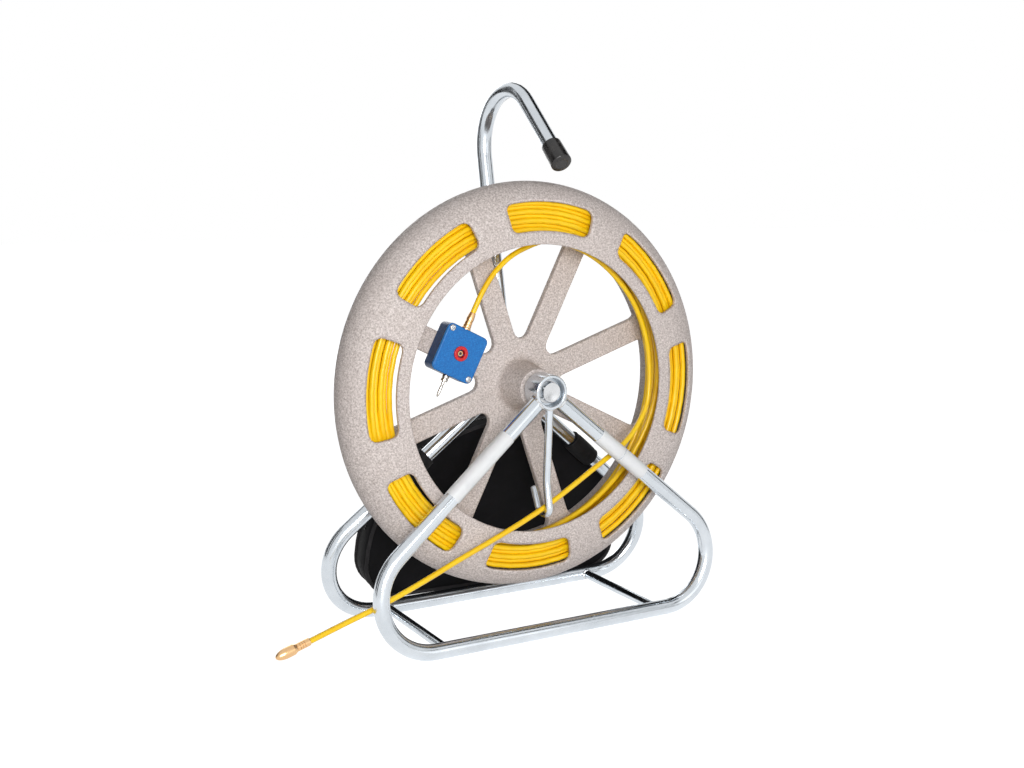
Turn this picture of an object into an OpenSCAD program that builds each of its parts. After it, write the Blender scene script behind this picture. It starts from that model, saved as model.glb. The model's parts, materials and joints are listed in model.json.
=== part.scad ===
// Duct rod reel: a stiff yellow rod wound in a spoked drum that turns on a bent tube frame.
// Millimetres, +Z up, front towards -Y. The origin is on the floor, under the middle of frame and bag.

/* [Frame] */
// Outside diameter of the frame tube
tube_d = 20; // [16:0.5:22]
// Wall of the frame tube
tube_wall = 2; // [1:0.25:4]
// Height of the axle above the floor
axle_height = 310; // [300:1:350]
// Half the base length, to the corner where the lines of leg and base meet
base_half = 355; // [335:1:400]
// Bend radius of every frame tube at its centre line
bend_r = 68; // [50:1:76]
// Distance of the front legs' centre line in from the outer end of their bush
front_inset = 11; // [10:0.5:16]
// Distance of the rear legs' centre line in from the outer end of their bush
rear_inset = 15; // [11:0.5:18]
// Front base tube's distance from the middle of the drum
front_base = 81; // [75:1:100]
// Rear base tube's distance from the middle of the drum
rear_base = 101; // [90:1:120]
// Diameter of the bars that join the base tubes
cross_d = 12; // [8:0.5:16]
// Distance of each cross bar from the start of the nearest bend
cross_inset = 14; // [8:1:60]

/* [Handle and guide] */
// Straight run of the handle from the axle line up to its bend
handle_rise = 298; // [285:1:330]
// Backward lean of the handle
handle_lean = 11.4; // [9:0.1:13]
// Angle that the handle turns through at its top
handle_turn = 143.5; // [130:0.5:150]
// Straight run from the bend to the end of the handle tube
handle_reach = 105; // [80:1:140]
// Diameter of the end cap
cap_d = 26; // [24:0.5:30]
// Length of the end cap on the tube
cap_grip = 30; // [20:1:45]
// Thickness of the end cap's closed end
cap_end = 3; // [2:0.5:6]
// Diameter of the guide arm's bar
arm_d = 10; // [8:0.5:12]
// Length of the guide arm from the axle down to its kink
arm_drop = 116; // [100:1:125]
// Depth of the hook's bottom below the axle, at the bar's centre
hook_depth = 158; // [150:0.5:170]
// How far the arm leans forwards below its kink
kink_out = 8; // [4:0.5:12]
// Length of the hook's bottom run
hook_w = 27; // [24:0.5:32]
// How far the hook's end leans back
hook_flare = 14; // [8:0.5:18]
// Height of the hook's end above its bottom
hook_rise = 28; // [22:0.5:36]

/* [Axle] */
// Diameter of the axle bolt
axle_d = 16; // [12:1:18]
// Width across the flats of bolt head and nut
hex_flats = 24; // [20:1:27]
// Outside diameter of the bushes
bush_d = 44; // [42:1:50]
// Length of each bush
bush_len = 32; // [26:1:36]
// Diameter of the recess for head, nut and washer
recess_d = 36; // [34:0.5:38]
// Depth of that recess
recess_depth = 14; // [10:0.5:18]
// Diameter of the washers under head and nut
washer_d = 30; // [26:1:33]
// Thickness of those washers
washer_t = 3; // [2:0.5:4]
// Height of bolt head and nut
hex_h = 10; // [7:0.5:12]

/* [Drum] */
// Outside radius of the drum
drum_r = 260; // [250:1:270]
// Width of the drum over both faces
drum_depth = 83; // [78:1:86]
// Width of the rounded rim outside the flat part of the front face
rim_round = 60; // [54:1:64]
// Wall of both half shells
shell_wall = 4.5; // [3.5:0.25:6]
// Width of the front face and rim, from the round mouth to the outside of the drum
front_face_w = 78; // [72:1:84]
// Width of the face left between the mouth and the slots
mouth_band = 16; // [10:0.5:20]
// Width of the rim left outside the slots
rim_band = 25; // [22:0.5:30]
// Angle that each slot spans
slot_span = 32; // [20:0.5:36]
// Corner radius of the slots
slot_corner = 9; // [4:0.5:12]
// Width of a spoke
spoke_w = 31; // [28:1:40]
// Thickness of a spoke
spoke_t = 11; // [8:0.5:14]
// Distance of the spokes' back face behind the middle of the drum
spoke_back = 29; // [24:0.5:32]
// Corner radius at the inner end of each window
window_corner = 11.7; // [8:0.1:16]
// Width of the rear face and rim, from the windows to the outside of the drum
rear_face_w = 56; // [52:0.5:62]
// Thickness of the hoop that joins spokes and rear face
hoop_t = 6; // [4:0.5:8]
// Bore of the hub for its bearings
hub_bore = 24; // [22:0.5:28]
// Radius of the hub boss at its front end
boss_tip_r = 25; // [23:0.5:28]
// Radius of the hub boss where it meets the spokes
boss_root_r = 31; // [29:0.5:36]
// Fillet between boss and spokes
boss_fillet = 10; // [4:0.5:14]
// Diameter of the bearing flanges
flange_d = 34; // [30:0.5:42]
// Thickness of the bearing flanges
flange_t = 2.5; // [1.5:0.25:4]
// Length of each bearing in the hub
bearing_len = 24; // [15:1:28]
// Depth of the lip that centres the two halves
lip_depth = 7; // [6:0.5:9]
// Diameter of the rim screws
rim_screw_d = 4; // [3:0.25:5]

/* [Rod] */
// Diameter of the rod
rod_d = 7; // [5:0.25:8]
// Gap between one turn of the rod and the next
turn_gap = 0.9; // [0.6:0.1:1.6]
// Distance of the front turns' middle behind the front of the drum
coil_set_back = 17.5; // [12:0.5:22]
// Diameter of the grooved sleeve on the rod's end
sleeve_d = 9.5; // [9:0.25:12]
// Length of the grooved sleeve
sleeve_len = 17; // [14:1:24]
// Diameter of the nose on the rod's end
nose_d = 13; // [11:0.5:16]
// Length of the nose
nose_len = 27; // [20:1:40]

/* [Junction box] */
// Distance of the box from the axle along its spoke
box_r = 108; // [98:1:118]
// Size of the box along the spoke
box_w = 60; // [50:1:66]
// Size of the box across the spoke
box_h = 62; // [52:1:68]
// Depth of the box from the spoke to the front of its lid
box_depth = 25; // [22:0.5:30]
// Wall of the box
box_wall = 3; // [2:0.25:4]
// Thickness of the lid
lid_t = 4.2; // [3:0.1:5]
// Thickness of the gasket under the lid
gasket_t = 0.8; // [0.5:0.1:1.5]
// Corner radius of the box
box_corner = 7; // [6:0.5:9]
// Diameter of the red socket's flange
socket_d = 19; // [17:0.5:22]
// Diameter of the hole in the red socket
socket_hole_d = 10.5; // [8.5:0.25:11.5]
// Bore of the contact in the socket
contact_bore = 4; // [3:0.25:5]
// Diameter of the bare contact pin
pin_d = 4; // [3:0.25:5]
// Bare length of the contact pin
pin_len = 21; // [15:1:26]
// Length of the brass ferrule on the rod
ferrule_len = 15; // [10:0.5:20]

/* [Bag and labels] */
// Half the width of the bag
bag_half = 196; // [170:1:215]
// Depth of the bag
bag_depth = 36; // [20:1:60]
// Distance from the axle down to the bag's top, along the leaning legs
bag_top = 63; // [55:1:80]
// Distance from the axle down to the bag's bottom, along the leaning legs
bag_bottom = 295; // [270:1:302]
// Corner radius at the bag's bottom
bag_corner = 50; // [30:1:60]
// Thickness of the straps
strap_t = 3; // [2:0.25:5]
// Width of the straps
strap_w = 56; // [30:1:70]
// Distance along the legs from the straps' middle to the bag's half width
strap_inset = 20; // [6:1:30]
// Thickness of the labels
label_t = 0.3; // [0.2:0.05:0.5]
// Distance of the left label from the axle, along its leg
left_label_at = 79; // [60:1:110]
// Length of the left label
left_label_len = 104; // [60:1:120]
// Distance of the first right label from the axle, along its leg
right_label_at = 95; // [60:1:120]
// Length of each right label
right_label_len = 42; // [20:1:60]
// Gap between the right labels
right_label_gap = 1; // [0.5:0.5:6]

/* [Hidden] */
$fn = 64;

// Clearances
weld_gap = 0.1;
running_gap = 0.05;
hole_gap = 0.1;
seat_gap = 0.4;
end_gap = 0.3;
bend_ease = 0.15;
bend_lap = 1;
cut = 1;

// Counts and angles of the drum
spokes = 8;
step = 360 / spokes;
spoke_phase = 18.5;
slot_phase = spoke_phase - step / 2;
box_spoke = 3;
box_angle = spoke_phase + box_spoke * step;

// Axle stack, measured from the middle of the drum
hub_proud = 1;
hub_end = spoke_back + hub_proud;
flange_end = hub_end + flange_t;
thrust_start = flange_end + end_gap;
thrust_t = 2.2;
bush_in = thrust_start + thrust_t;
bush_out = bush_in + bush_len;
recess_end = bush_out - recess_depth;
washer_out = recess_end + washer_t;
hex_out = washer_out + hex_h;
washer_play = 0.6;
washer_bore = axle_d + washer_play;
bush_play = 0.4;
bush_bore = axle_d + bush_play;

// Frame planes
front_apex = bush_out - front_inset;
rear_apex = bush_out - rear_inset;
base_drop = axle_height - tube_d / 2;
front_lean = atan((front_base - front_apex) / base_drop);
rear_lean = atan((rear_base - rear_apex) / base_drop);
front_rise = base_drop / cos(front_lean);
rear_rise = base_drop / cos(rear_lean);
tube_bore = tube_d - 2 * tube_wall;
corner_set = bend_r / tan(atan(base_drop / base_half) / 2);
cross_x = base_half - corner_set - cross_inset;

// Handle: up from the rear bush, round its bend and forward to the capped end
handle_y = (bush_in + bush_out) / 2;
handle_set = bend_r * tan(handle_turn / 2);
handle_h1 = 90 - handle_lean;
handle_h2 = handle_h1 + handle_turn;
handle_foot = [handle_y, 0];
handle_corner = handle_foot + (handle_rise + handle_set) * [cos(handle_h1), sin(handle_h1)];
handle_dir = [cos(handle_h2), sin(handle_h2)];
handle_end = handle_corner + (handle_set + handle_reach) * handle_dir;

// Bag, measured square to the rear legs, and the place of the origin
strap_d = tube_d + 2 * end_gap + 2 * strap_t;
strap_at = bag_half - strap_inset;
bag_front = strap_d / 2 + end_gap;
bag_back = bag_front + bag_depth;
cap_front = handle_end[0] + cap_end * handle_dir[0] + cap_d / 2 * handle_dir[1];
front_reach = max(front_base + tube_d / 2, -cap_front);
back_reach = rear_apex + bag_bottom * sin(rear_lean) + bag_back * cos(rear_lean);
mid_y = (front_reach - back_reach) / 2;

// Drum shells
half_depth = drum_depth / 2;
rim_steps = 8;
inner_depth = half_depth - shell_wall;
face_r = drum_r - rim_round;
mouth_r = drum_r - front_face_w;
window_r = drum_r - rear_face_w;
slot_in = mouth_r + mouth_band;
slot_out = drum_r - rim_band;
slot_floor = inner_depth / 2;
lip_r = drum_r - shell_wall - end_gap;
lip_t = 3.7;
lip_lead = 1.6;
lip_turn = 15;
edge_round = 2;
spoke_front = spoke_back - spoke_t;
hoop_r = window_r + hoop_t;
hoop_ledge = 1.5;
hoop_proud = 0.5;
rim_head_d = 7;
rim_head_t = 2;
rim_sink = 0.8;
rim_seat = drum_r - rim_head_t - rim_sink;
seam_land = 0.25;
rim_screw_y = rim_head_d / 2 + hole_gap + seam_land;

// Rod winding: an inner layer, one turn round the corner, then turns out over the front side
coil_clear = 0.5;
rim_clear = 1.5;
layer_rise = 1;
pitch = rod_d + turn_gap;
front_y = coil_set_back - half_depth;
coil_r = rim_wall(front_y - rod_d / 2) - rod_d / 2;
coil_back = spoke_front - rim_clear - rod_d / 2;
layer_r = slot_in + layer_rise;
turn_steps = 24;
layer_turns = (coil_back - front_y - pitch) / pitch;
side_turns = (coil_r - layer_r - pitch) / pitch;
coil_turns = layer_turns + 1 + side_turns;
coil_start = 69;
coil_sides = 6;
core_in = layer_r + rod_d / 2 + seat_gap;
core_front = front_y + rod_d / 2 + seat_gap;
core_step = coil_back + rod_d / 2 + coil_clear;
core_r = lip_r - lip_t - rim_clear;
core_depth = inner_depth - 2 * rim_clear;
core_corner = rod_d;

// Junction box, measured along its own depth from the middle of the drum
box_front = box_depth - spoke_front;
lid_back = box_front - lid_t;
body_front = lid_back - gasket_t;
body_back = -spoke_front;
entry_z = -6;
post_d = 9;
lid_screw_d = 3;
lid_screw_inset = 6;
lid_screw_at = [box_w / 2 - lid_screw_inset, lid_screw_inset - box_h / 2];
box_screw_d = 4;
box_screw_x = 16;
screw_floor = 1;
screw_end = 2;
stub_past = 2;
gland_d = 11;
gland_len = 6;
gland_bore = 3;
stub_d = 8;
neck_d = 13;
socket_flange = 2.5;
socket_hole_depth = 9;
socket_front = box_front + socket_flange;
socket_floor = socket_front - socket_hole_depth;
contact_wall = 1.25;
contact_d = contact_bore + 2 * contact_wall;
contact_end = -11;
contact_floor = 2;
contact_set_back = 3;
contact_front = socket_front - contact_set_back;
collar_len = 8;
pin_step = 0.4;
pin_stub_d = pin_d - 2 * pin_step;
collar_wall = 1;
collar_stub_d = pin_d + 2 * collar_wall;
collar_rim = 2.5;
collar_d = pin_d + 2 * collar_rim;
pin_inside = 4;
wire_d = 2;
wire_z = -9;

// Rod's inner end, from the ferrule to where it joins the inner layer
grip_len = 8;
ferrule_tip = box_h / 2 + ferrule_len;
link_dir = [sin(box_angle), 0, -cos(box_angle)];
link_foot = box_r * [cos(box_angle), 0, sin(box_angle)] + [0, -entry_z, 0];
link_start = link_foot + ferrule_tip * link_dir;
link_route = [[-60, 6.5, 120], [-46, 7, 140], [-31, 8, 155], [-14, 9, 167], [5, 10, 175.5],
    [25, 11, 182], [47, 12, 186.5]];

// Free stretch of the rod, from the inner layer over the guide hook to its brass end
free_route = [[-16.5, -20, 188.5], [16.5, -20, 187.5], [48.5, -20, 181], [78.5, -20, 169], [106, -20, 152],
    [130, -20, 130], [150, -20, 105], [165, -20, 77], [175, -20, 47], [179, -20, 15.5],
    [178.5, -21, -12], [173, -24, -36], [160, -28, -55], [143, -33, -72], [122, -38, -86], [98, -42, -98],
    [68, -46, -113], [36, -49, -130], [5, -51, -146], [-38, -53, -165], [-82, -55, -182], [-125, -57, -198],
    [-168, -58.5, -215], [-206, -60, -229], [-243, -61.5, -241], [-280, -64, -251], [-313, -67, -260],
    [-332, -69, -265]];
free_sides = 8;

// Plain helpers
function unit(v) = v / norm(v);
function heading(a, b) = atan2(b[1] - a[1], b[0] - a[0]);
function wrap(t) = t > 180 ? t - 360 : t < -180 ? t + 360 : t;
function turn_at(pts, i) = wrap(heading(pts[i], pts[i + 1]) - heading(pts[i - 1], pts[i]));
function is_end(pts, i) = i == 0 || i == len(pts) - 1;
function radius_at(r, i) = is_list(r) ? r[i] : r;
function setback(pts, i, r) = is_end(pts, i) ? 0 : radius_at(r, i) * tan(abs(turn_at(pts, i)) / 2);
function loop_points(rise) = [[0, 0], [base_half, -rise], [-base_half, -rise], [0, 0]];
function rim_wall(y) = face_r + (rim_round - shell_wall) * sqrt(1 - pow(y / inner_depth, 2));
function rim_turn(r, bulge) = acos((r - face_r) / bulge);
function rim_point(t, bulge, depth) = [face_r + bulge * cos(t), depth * sin(t)];
function rim_arc(from, to, bulge, depth) =
    [for (i = [0 : rim_steps]) rim_point(from + (to - from) * i / rim_steps, bulge, depth)];

// Places: the middle of the axle, the two leaning leg planes, the handle's plane and the box
module at_axle() {
    translate([0, mid_y, axle_height]) children();
}

module front_plane() {
    translate([0, -front_apex, 0]) rotate([90 - front_lean, 0, 0]) children();
}

module rear_plane() {
    translate([0, rear_apex, 0]) rotate([90 + rear_lean, 0, 0]) children();
}

module side_plane() {
    rotate([90, 0, 90]) children();
}

module face_plane() {
    rotate([90, 0, 0]) children();
}

module on_spoke() {
    face_plane() rotate([0, 0, box_angle]) translate([box_r, 0, 0]) children();
}

module along(dir) {
    rotate([0, acos(dir[2] / norm(dir)), atan2(dir[1], dir[0])]) children();
}

// Shapes that repeat
module disc(d, y0, y1) {
    translate([0, y0, 0]) rotate([-90, 0, 0]) cylinder(d = d, h = y1 - y0);
}

module hex_disc(flats, y0, y1) {
    translate([0, y0, 0]) rotate([-90, 0, 0]) cylinder(d = flats / cos(30), h = y1 - y0, $fn = 6);
}

module washer(d, bore, y0, y1) {
    difference() {
        disc(d, y0, y1);
        disc(bore, y0 - cut, y1 + cut);
    }
}

module about_axle() {
    rotate([-90, 0, 0]) rotate_extrude($fn = 128) children();
}

module ring_section(d, bore) {
    difference() {
        circle(d = d);
        if (bore > 0) circle(d = bore);
    }
}

module sleeve(d, bore, len) {
    difference() {
        cylinder(d = d, h = len);
        translate([0, 0, -cut]) cylinder(d = bore, h = len + 2 * cut);
    }
}

module bend(pts, i, r, d, bore) {
    turn = turn_at(pts, i);
    side = sign(turn);
    before = heading(pts[i - 1], pts[i]);
    start = pts[i] - setback(pts, i, r) * [cos(before), sin(before)];
    centre = start + side * radius_at(r, i) * [-sin(before), cos(before)];
    translate([centre[0], centre[1], 0])
        rotate([0, 0, before - side * 90 + min(turn, 0)])
            rotate_extrude(angle = abs(turn), $fn = 96)
                translate([radius_at(r, i), 0])
                    ring_section(d - 2 * bend_ease, bore > 0 ? bore + 2 * bend_ease : 0);
}

// A bar or tube bent in one plane: straight runs between the points, and a round bend at each, of one
// radius r or of the radii that a list gives.
// The bends are drawn a hair thinner, and the straight runs lap over their ends.
module bent_bar(pts, r, d, bore = 0) {
    for (i = [0 : len(pts) - 2]) {
        start = setback(pts, i, r) - (is_end(pts, i) ? 0 : bend_lap);
        end = setback(pts, i + 1, r) - (is_end(pts, i + 1) ? 0 : bend_lap);
        run = norm(pts[i + 1] - pts[i]) - start - end;
        translate([pts[i][0], pts[i][1], 0])
            rotate([0, 90, heading(pts[i], pts[i + 1])])
                translate([0, 0, start]) linear_extrude(run) ring_section(d, bore);
    }
    for (i = [1 : len(pts) - 2]) bend(pts, i, r, d, bore);
}

// A rod swept along points, as rings of corners joined by triangles
function tangent(p, i) = unit(p[min(i + 1, len(p) - 1)] - p[max(i - 1, 0)]);
function ring_points(p, i, d, n) =
    let (t = tangent(p, i), s = unit(cross([0, 1, 0], t)), u = cross(t, s))
    [for (k = [0 : n - 1]) p[i] + d / 2 * (cos(360 * k / n) * s + sin(360 * k / n) * u)];
function quad(a, b, n) = [[a, a + n, b + n], [a, b + n, b]];

module swept_rod(p, d, n) {
    corners = [for (i = [0 : len(p) - 1]) each ring_points(p, i, d, n)];
    last = (len(p) - 1) * n;
    sides = [for (i = [0 : len(p) - 2], k = [0 : n - 1]) each quad(i * n + k, i * n + (k + 1) % n, n)];
    first_cap = [for (k = [1 : n - 2]) [0, k, k + 1]];
    last_cap = [for (k = [1 : n - 2]) [last, last + k + 1, last + k]];
    polyhedron(corners, concat(sides, first_cap, last_cap));
}

module plate(w, h, r) {
    square([w - 2 * r, h], center = true);
    square([w, h - 2 * r], center = true);
    for (x = [-1, 1], y = [-1, 1]) translate([x * (w / 2 - r), y * (h / 2 - r)]) circle(r = r);
}

// Frame
module bush_space(gap) {
    disc(bush_d + 2 * gap, -2 * bush_out, 2 * bush_out);
}

module front_loop() {
    color("lightsteelblue") at_axle() difference() {
        front_plane() bent_bar(loop_points(front_rise), bend_r, tube_d, tube_bore);
        bush_space(weld_gap);
    }
}

module rear_loop() {
    color("lightsteelblue") at_axle() difference() {
        rear_plane() bent_bar(loop_points(rear_rise), bend_r, tube_d, tube_bore);
        bush_space(weld_gap);
    }
}

module base_line(y) {
    translate([-base_half, y, 0]) rotate([0, 90, 0])
        cylinder(d = tube_d + 2 * weld_gap, h = 2 * base_half);
}

module cross_bar(x) {
    color("lightsteelblue") at_axle() translate([0, 0, -base_drop]) difference() {
        translate([x, 0, 0]) disc(cross_d, -front_base, rear_base);
        base_line(-front_base);
        base_line(rear_base);
    }
}

module left_cross_bar() {
    cross_bar(-cross_x);
}

module right_cross_bar() {
    cross_bar(cross_x);
}

module bush() {
    difference() {
        disc(bush_d, -bush_out, -bush_in);
        disc(bush_bore, -bush_out - cut, -bush_in + cut);
        disc(recess_d, -bush_out - cut, -recess_end);
    }
}

module front_bush() {
    color("silver") at_axle() bush();
}

module rear_bush() {
    color("silver") at_axle() mirror([0, 1, 0]) bush();
}

module axle_bolt() {
    color("gainsboro") at_axle() {
        hex_disc(hex_flats, -hex_out, -washer_out);
        disc(axle_d, -washer_out, hex_out);
    }
}

module bolt_washer() {
    color("gainsboro") at_axle() washer(washer_d, washer_bore, -washer_out, -recess_end);
}

module axle_nut() {
    color("gainsboro") at_axle() difference() {
        hex_disc(hex_flats, washer_out, hex_out);
        disc(axle_d + 2 * hole_gap, washer_out - cut, hex_out + cut);
    }
}

module nut_washer() {
    color("gainsboro") at_axle() washer(washer_d, washer_bore, recess_end, washer_out);
}

module front_thrust_washer() {
    color("gainsboro") at_axle() washer(flange_d, washer_bore, -bush_in, -thrust_start);
}

module rear_thrust_washer() {
    color("gainsboro") at_axle() washer(flange_d, washer_bore, thrust_start, bush_in);
}

module carry_handle() {
    color("lightsteelblue") at_axle() difference() {
        side_plane() bent_bar([handle_foot, handle_corner, handle_end], bend_r, tube_d, tube_bore);
        bush_space(weld_gap);
    }
}

module handle_cap() {
    cap_start = handle_end - cap_grip * handle_dir;
    color("black") at_axle() side_plane() translate([cap_start[0], cap_start[1], 0])
        rotate([0, 90, handle_h2]) difference() {
            cylinder(d = cap_d, h = cap_grip + cap_end);
            translate([0, 0, -cut]) cylinder(d = tube_d + 2 * hole_gap, h = cap_grip + cut);
        }
}

// Guide arm: down from the front bush, with a hook that opens upwards
arm_inset = 2;
arm_y = -(front_apex - arm_inset);
hook_front = arm_y - kink_out;
hook_back = hook_front + hook_w;
arm_points = [[arm_y, 0], [arm_y, -arm_drop], [hook_front, -hook_depth], [hook_back, -hook_depth],
    [hook_back + hook_flare, hook_rise - hook_depth]];
kink_r = 40;
hook_r = 9;
arm_bends = [0, kink_r, hook_r, hook_r, 0];

module guide_arm() {
    color("silver") at_axle() difference() {
        side_plane() bent_bar(arm_points, arm_bends, arm_d);
        bush_space(weld_gap);
    }
}

// What is wrapped round a leg: side is -1 on the left and 1 on the right
module round_leg(side, rise, start, run, d) {
    rotate([0, 90, heading([0, 0], [side * base_half, -rise])])
        translate([0, 0, start]) sleeve(d, tube_d + 2 * hole_gap, run);
}

label_d = tube_d + 2 * hole_gap + 2 * label_t;
right_label_step = right_label_len + right_label_gap;
right_label_count = 2;

module left_label() {
    color("white") at_axle() front_plane()
        round_leg(-1, front_rise, left_label_at, left_label_len, label_d);
}

module right_labels() {
    color("white") at_axle() front_plane() for (k = [0 : right_label_count - 1])
        round_leg(1, front_rise, right_label_at + k * right_label_step, right_label_len, label_d);
}

module strap(side) {
    color("black") at_axle() rear_plane()
        round_leg(side, rear_rise, strap_at - strap_w / 2, strap_w, strap_d);
}

module left_strap() {
    strap(-1);
}

module right_strap() {
    strap(1);
}

// Bag outline: a round top over two round bottom corners
bag_waist = bag_bottom - bag_corner;
bag_steps = 24;
bag_outline = concat(
    [for (i = [0 : bag_steps])
        let (t = 180 * i / bag_steps)
        [bag_half * cos(t), -bag_waist + (bag_waist - bag_top) * sin(t)]],
    [for (i = [0 : 6])
        let (t = 180 + 15 * i)
        [-bag_half + bag_corner + bag_corner * cos(t), -bag_waist + bag_corner * sin(t)]],
    [for (i = [0 : 6])
        let (t = 270 + 15 * i)
        [bag_half - bag_corner + bag_corner * cos(t), -bag_waist + bag_corner * sin(t)]]);

module storage_bag() {
    color("#17171a") at_axle() rear_plane()
        translate([0, 0, -bag_back]) linear_extrude(bag_depth) polygon(bag_outline);
}

// Free rod and its brass end
free_last = len(free_route) - 1;
end_point = free_route[free_last];
end_dir = unit(end_point - free_route[free_last - 1]);

module on_rod_end(shift) {
    at_axle() translate(end_point + shift * end_dir) along(end_dir) children();
}

module free_rod() {
    color("gold") at_axle() swept_rod(free_route, rod_d, free_sides);
}

module rod_sleeve() {
    groove = 0.6;
    groove_w = 1;
    groove_step = 3;
    grooves = 3;
    color("peru") on_rod_end(-grip_len) difference() {
        rotate_extrude() polygon([[0, 0], [sleeve_d / 2 - groove, 0], [sleeve_d / 2, groove],
            [sleeve_d / 2, sleeve_len], [0, sleeve_len]]);
        translate([0, 0, -cut]) cylinder(d = rod_d + 2 * hole_gap, h = grip_len + cut + end_gap);
        for (k = [1 : grooves]) translate([0, 0, sleeve_len - k * groove_step - groove_w])
            sleeve(sleeve_d + 2 * cut, sleeve_d - 2 * groove, groove_w);
    }
}

module rod_nose() {
    r = nose_d / 2;
    neck = 4;
    body = 12;
    tip = nose_len - body;
    color("peru") on_rod_end(sleeve_len - grip_len)
        rotate_extrude() polygon(concat([[0, 0], [sleeve_d / 2, 0], [r, neck], [r, body]],
            [for (i = [1 : 6]) [r * cos(15 * i), body + tip * sin(15 * i)]]));
}

// Drum
module drum_front() {
    color("#b9aea6") at_axle() difference() {
        about_axle() polygon(concat(
            [[mouth_r, -half_depth + edge_round], [mouth_r + edge_round, -half_depth]],
            rim_arc(-90, 0, rim_round, half_depth),
            [[lip_r, 0], [lip_r - lip_lead, lip_depth], [lip_r - lip_t, lip_depth]],
            [[lip_r - lip_t, -inner_depth * sin(lip_turn)]],
            rim_arc(-lip_turn, -90, rim_round - shell_wall, inner_depth),
            [[mouth_r + edge_round, -inner_depth], [mouth_r, -inner_depth - edge_round]]));
        for (k = [0 : spokes - 1]) slot_cut(slot_phase + k * step);
        rim_screw_holes();
    }
}

module sector(r0, r1, half) {
    rotate([0, 0, -half]) rotate_extrude(angle = 2 * half, $fn = 128)
        translate([r0, slot_floor]) square([r1 - r0, half_depth + cut - slot_floor]);
}

module slot_cut(angle) {
    half = slot_span / 2;
    low = slot_in + slot_corner;
    high = slot_out - slot_corner;
    face_plane() rotate([0, 0, angle]) {
        sector(slot_in, slot_out, half - asin(slot_corner / low));
        sector(low, high, half);
        for (r = [low, high], side = [-1, 1])
            rotate([0, 0, side * (half - asin(slot_corner / r))])
                translate([r, 0, slot_floor]) cylinder(r = slot_corner, h = half_depth + cut - slot_floor);
    }
}

module at_rim(k) {
    translate([0, rim_screw_y, 0]) rotate([0, 90 - spoke_phase - k * step, 0]) children();
}

module rim_screw_holes() {
    for (k = [0 : spokes - 1]) at_rim(k) {
        translate([0, 0, lip_r - lip_t - cut])
            cylinder(d = rim_screw_d + 2 * hole_gap, h = 2 * lip_t + shell_wall);
        translate([0, 0, rim_seat]) cylinder(d = rim_head_d + 2 * hole_gap, h = shell_wall);
    }
}

module rim_screws() {
    head = rim_seat + hole_gap;
    color("silver") at_axle() for (k = [0 : spokes - 1]) at_rim(k) {
        translate([0, 0, lip_r - lip_t]) cylinder(d = rim_screw_d, h = head - lip_r + lip_t);
        translate([0, 0, head]) cylinder(d = rim_head_d, h = rim_head_t);
    }
}

// One window between two spokes: a round inner end and straight sides, cut off by the rim's circle
window_side = step / 2;
window_at = (window_corner + spoke_w / 2) / sin(window_side);
window_steps = 10;
window_end = [for (i = [0 : window_steps])
    let (t = 90 + window_side + (180 - 2 * window_side) * i / window_steps)
    [window_at + window_corner * cos(t), window_corner * sin(t)]];
window_far = window_end[0] + window_r * [cos(window_side), sin(window_side)];

module window() {
    intersection() {
        circle(r = window_r, $fn = 128);
        polygon(concat(window_end, [[window_far[0], -window_far[1]], window_far]));
    }
}

module spoke_disc() {
    face_plane() translate([0, 0, -spoke_back]) linear_extrude(spoke_t) difference() {
        circle(r = window_r + hoop_t / 2, $fn = 128);
        circle(r = boss_root_r);
        for (k = [0 : spokes - 1]) rotate([0, 0, spoke_phase + (k + 0.5) * step]) window();
    }
}

module hub() {
    about_axle() polygon(concat(
        [[hub_bore / 2, -hub_end], [boss_tip_r - edge_round, -hub_end], [boss_tip_r, -hub_end + edge_round]],
        [for (i = [0 : 6])
            let (t = 15 * i)
            [boss_root_r + boss_fillet * (1 - cos(t)), spoke_front - boss_fillet * (1 - sin(t))]],
        [[boss_root_r + boss_fillet, hub_end], [hub_bore / 2, hub_end]]));
}

module back_rim() {
    about_axle() polygon(concat(
        [[window_r + hoop_ledge, spoke_front - hoop_proud]],
        rim_arc(rim_turn(window_r + hoop_ledge, rim_round), 0, rim_round, half_depth),
        rim_arc(0, rim_turn(hoop_r, rim_round - shell_wall), rim_round - shell_wall, inner_depth),
        [[hoop_r, spoke_front - hoop_proud]]));
}

module drum_back() {
    color("#b9aea6") at_axle() difference() {
        union() {
            hub();
            spoke_disc();
            back_rim();
        }
        rim_screw_holes();
        on_spoke() for (side = [-1, 1]) translate([side * box_screw_x, 0, -spoke_back + screw_floor])
            cylinder(d = box_screw_d + 2 * hole_gap, h = spoke_t);
    }
}

module bearing() {
    difference() {
        union() {
            disc(flange_d, -flange_end, -hub_end);
            disc(hub_bore - 2 * running_gap, -hub_end, -hub_end + bearing_len);
        }
        disc(axle_d + 2 * running_gap, -flange_end - cut, -hub_end + bearing_len + cut);
    }
}

module front_bearing() {
    color("ivory") at_axle() bearing();
}

module rear_bearing() {
    color("ivory") at_axle() mirror([0, 1, 0]) bearing();
}

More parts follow.
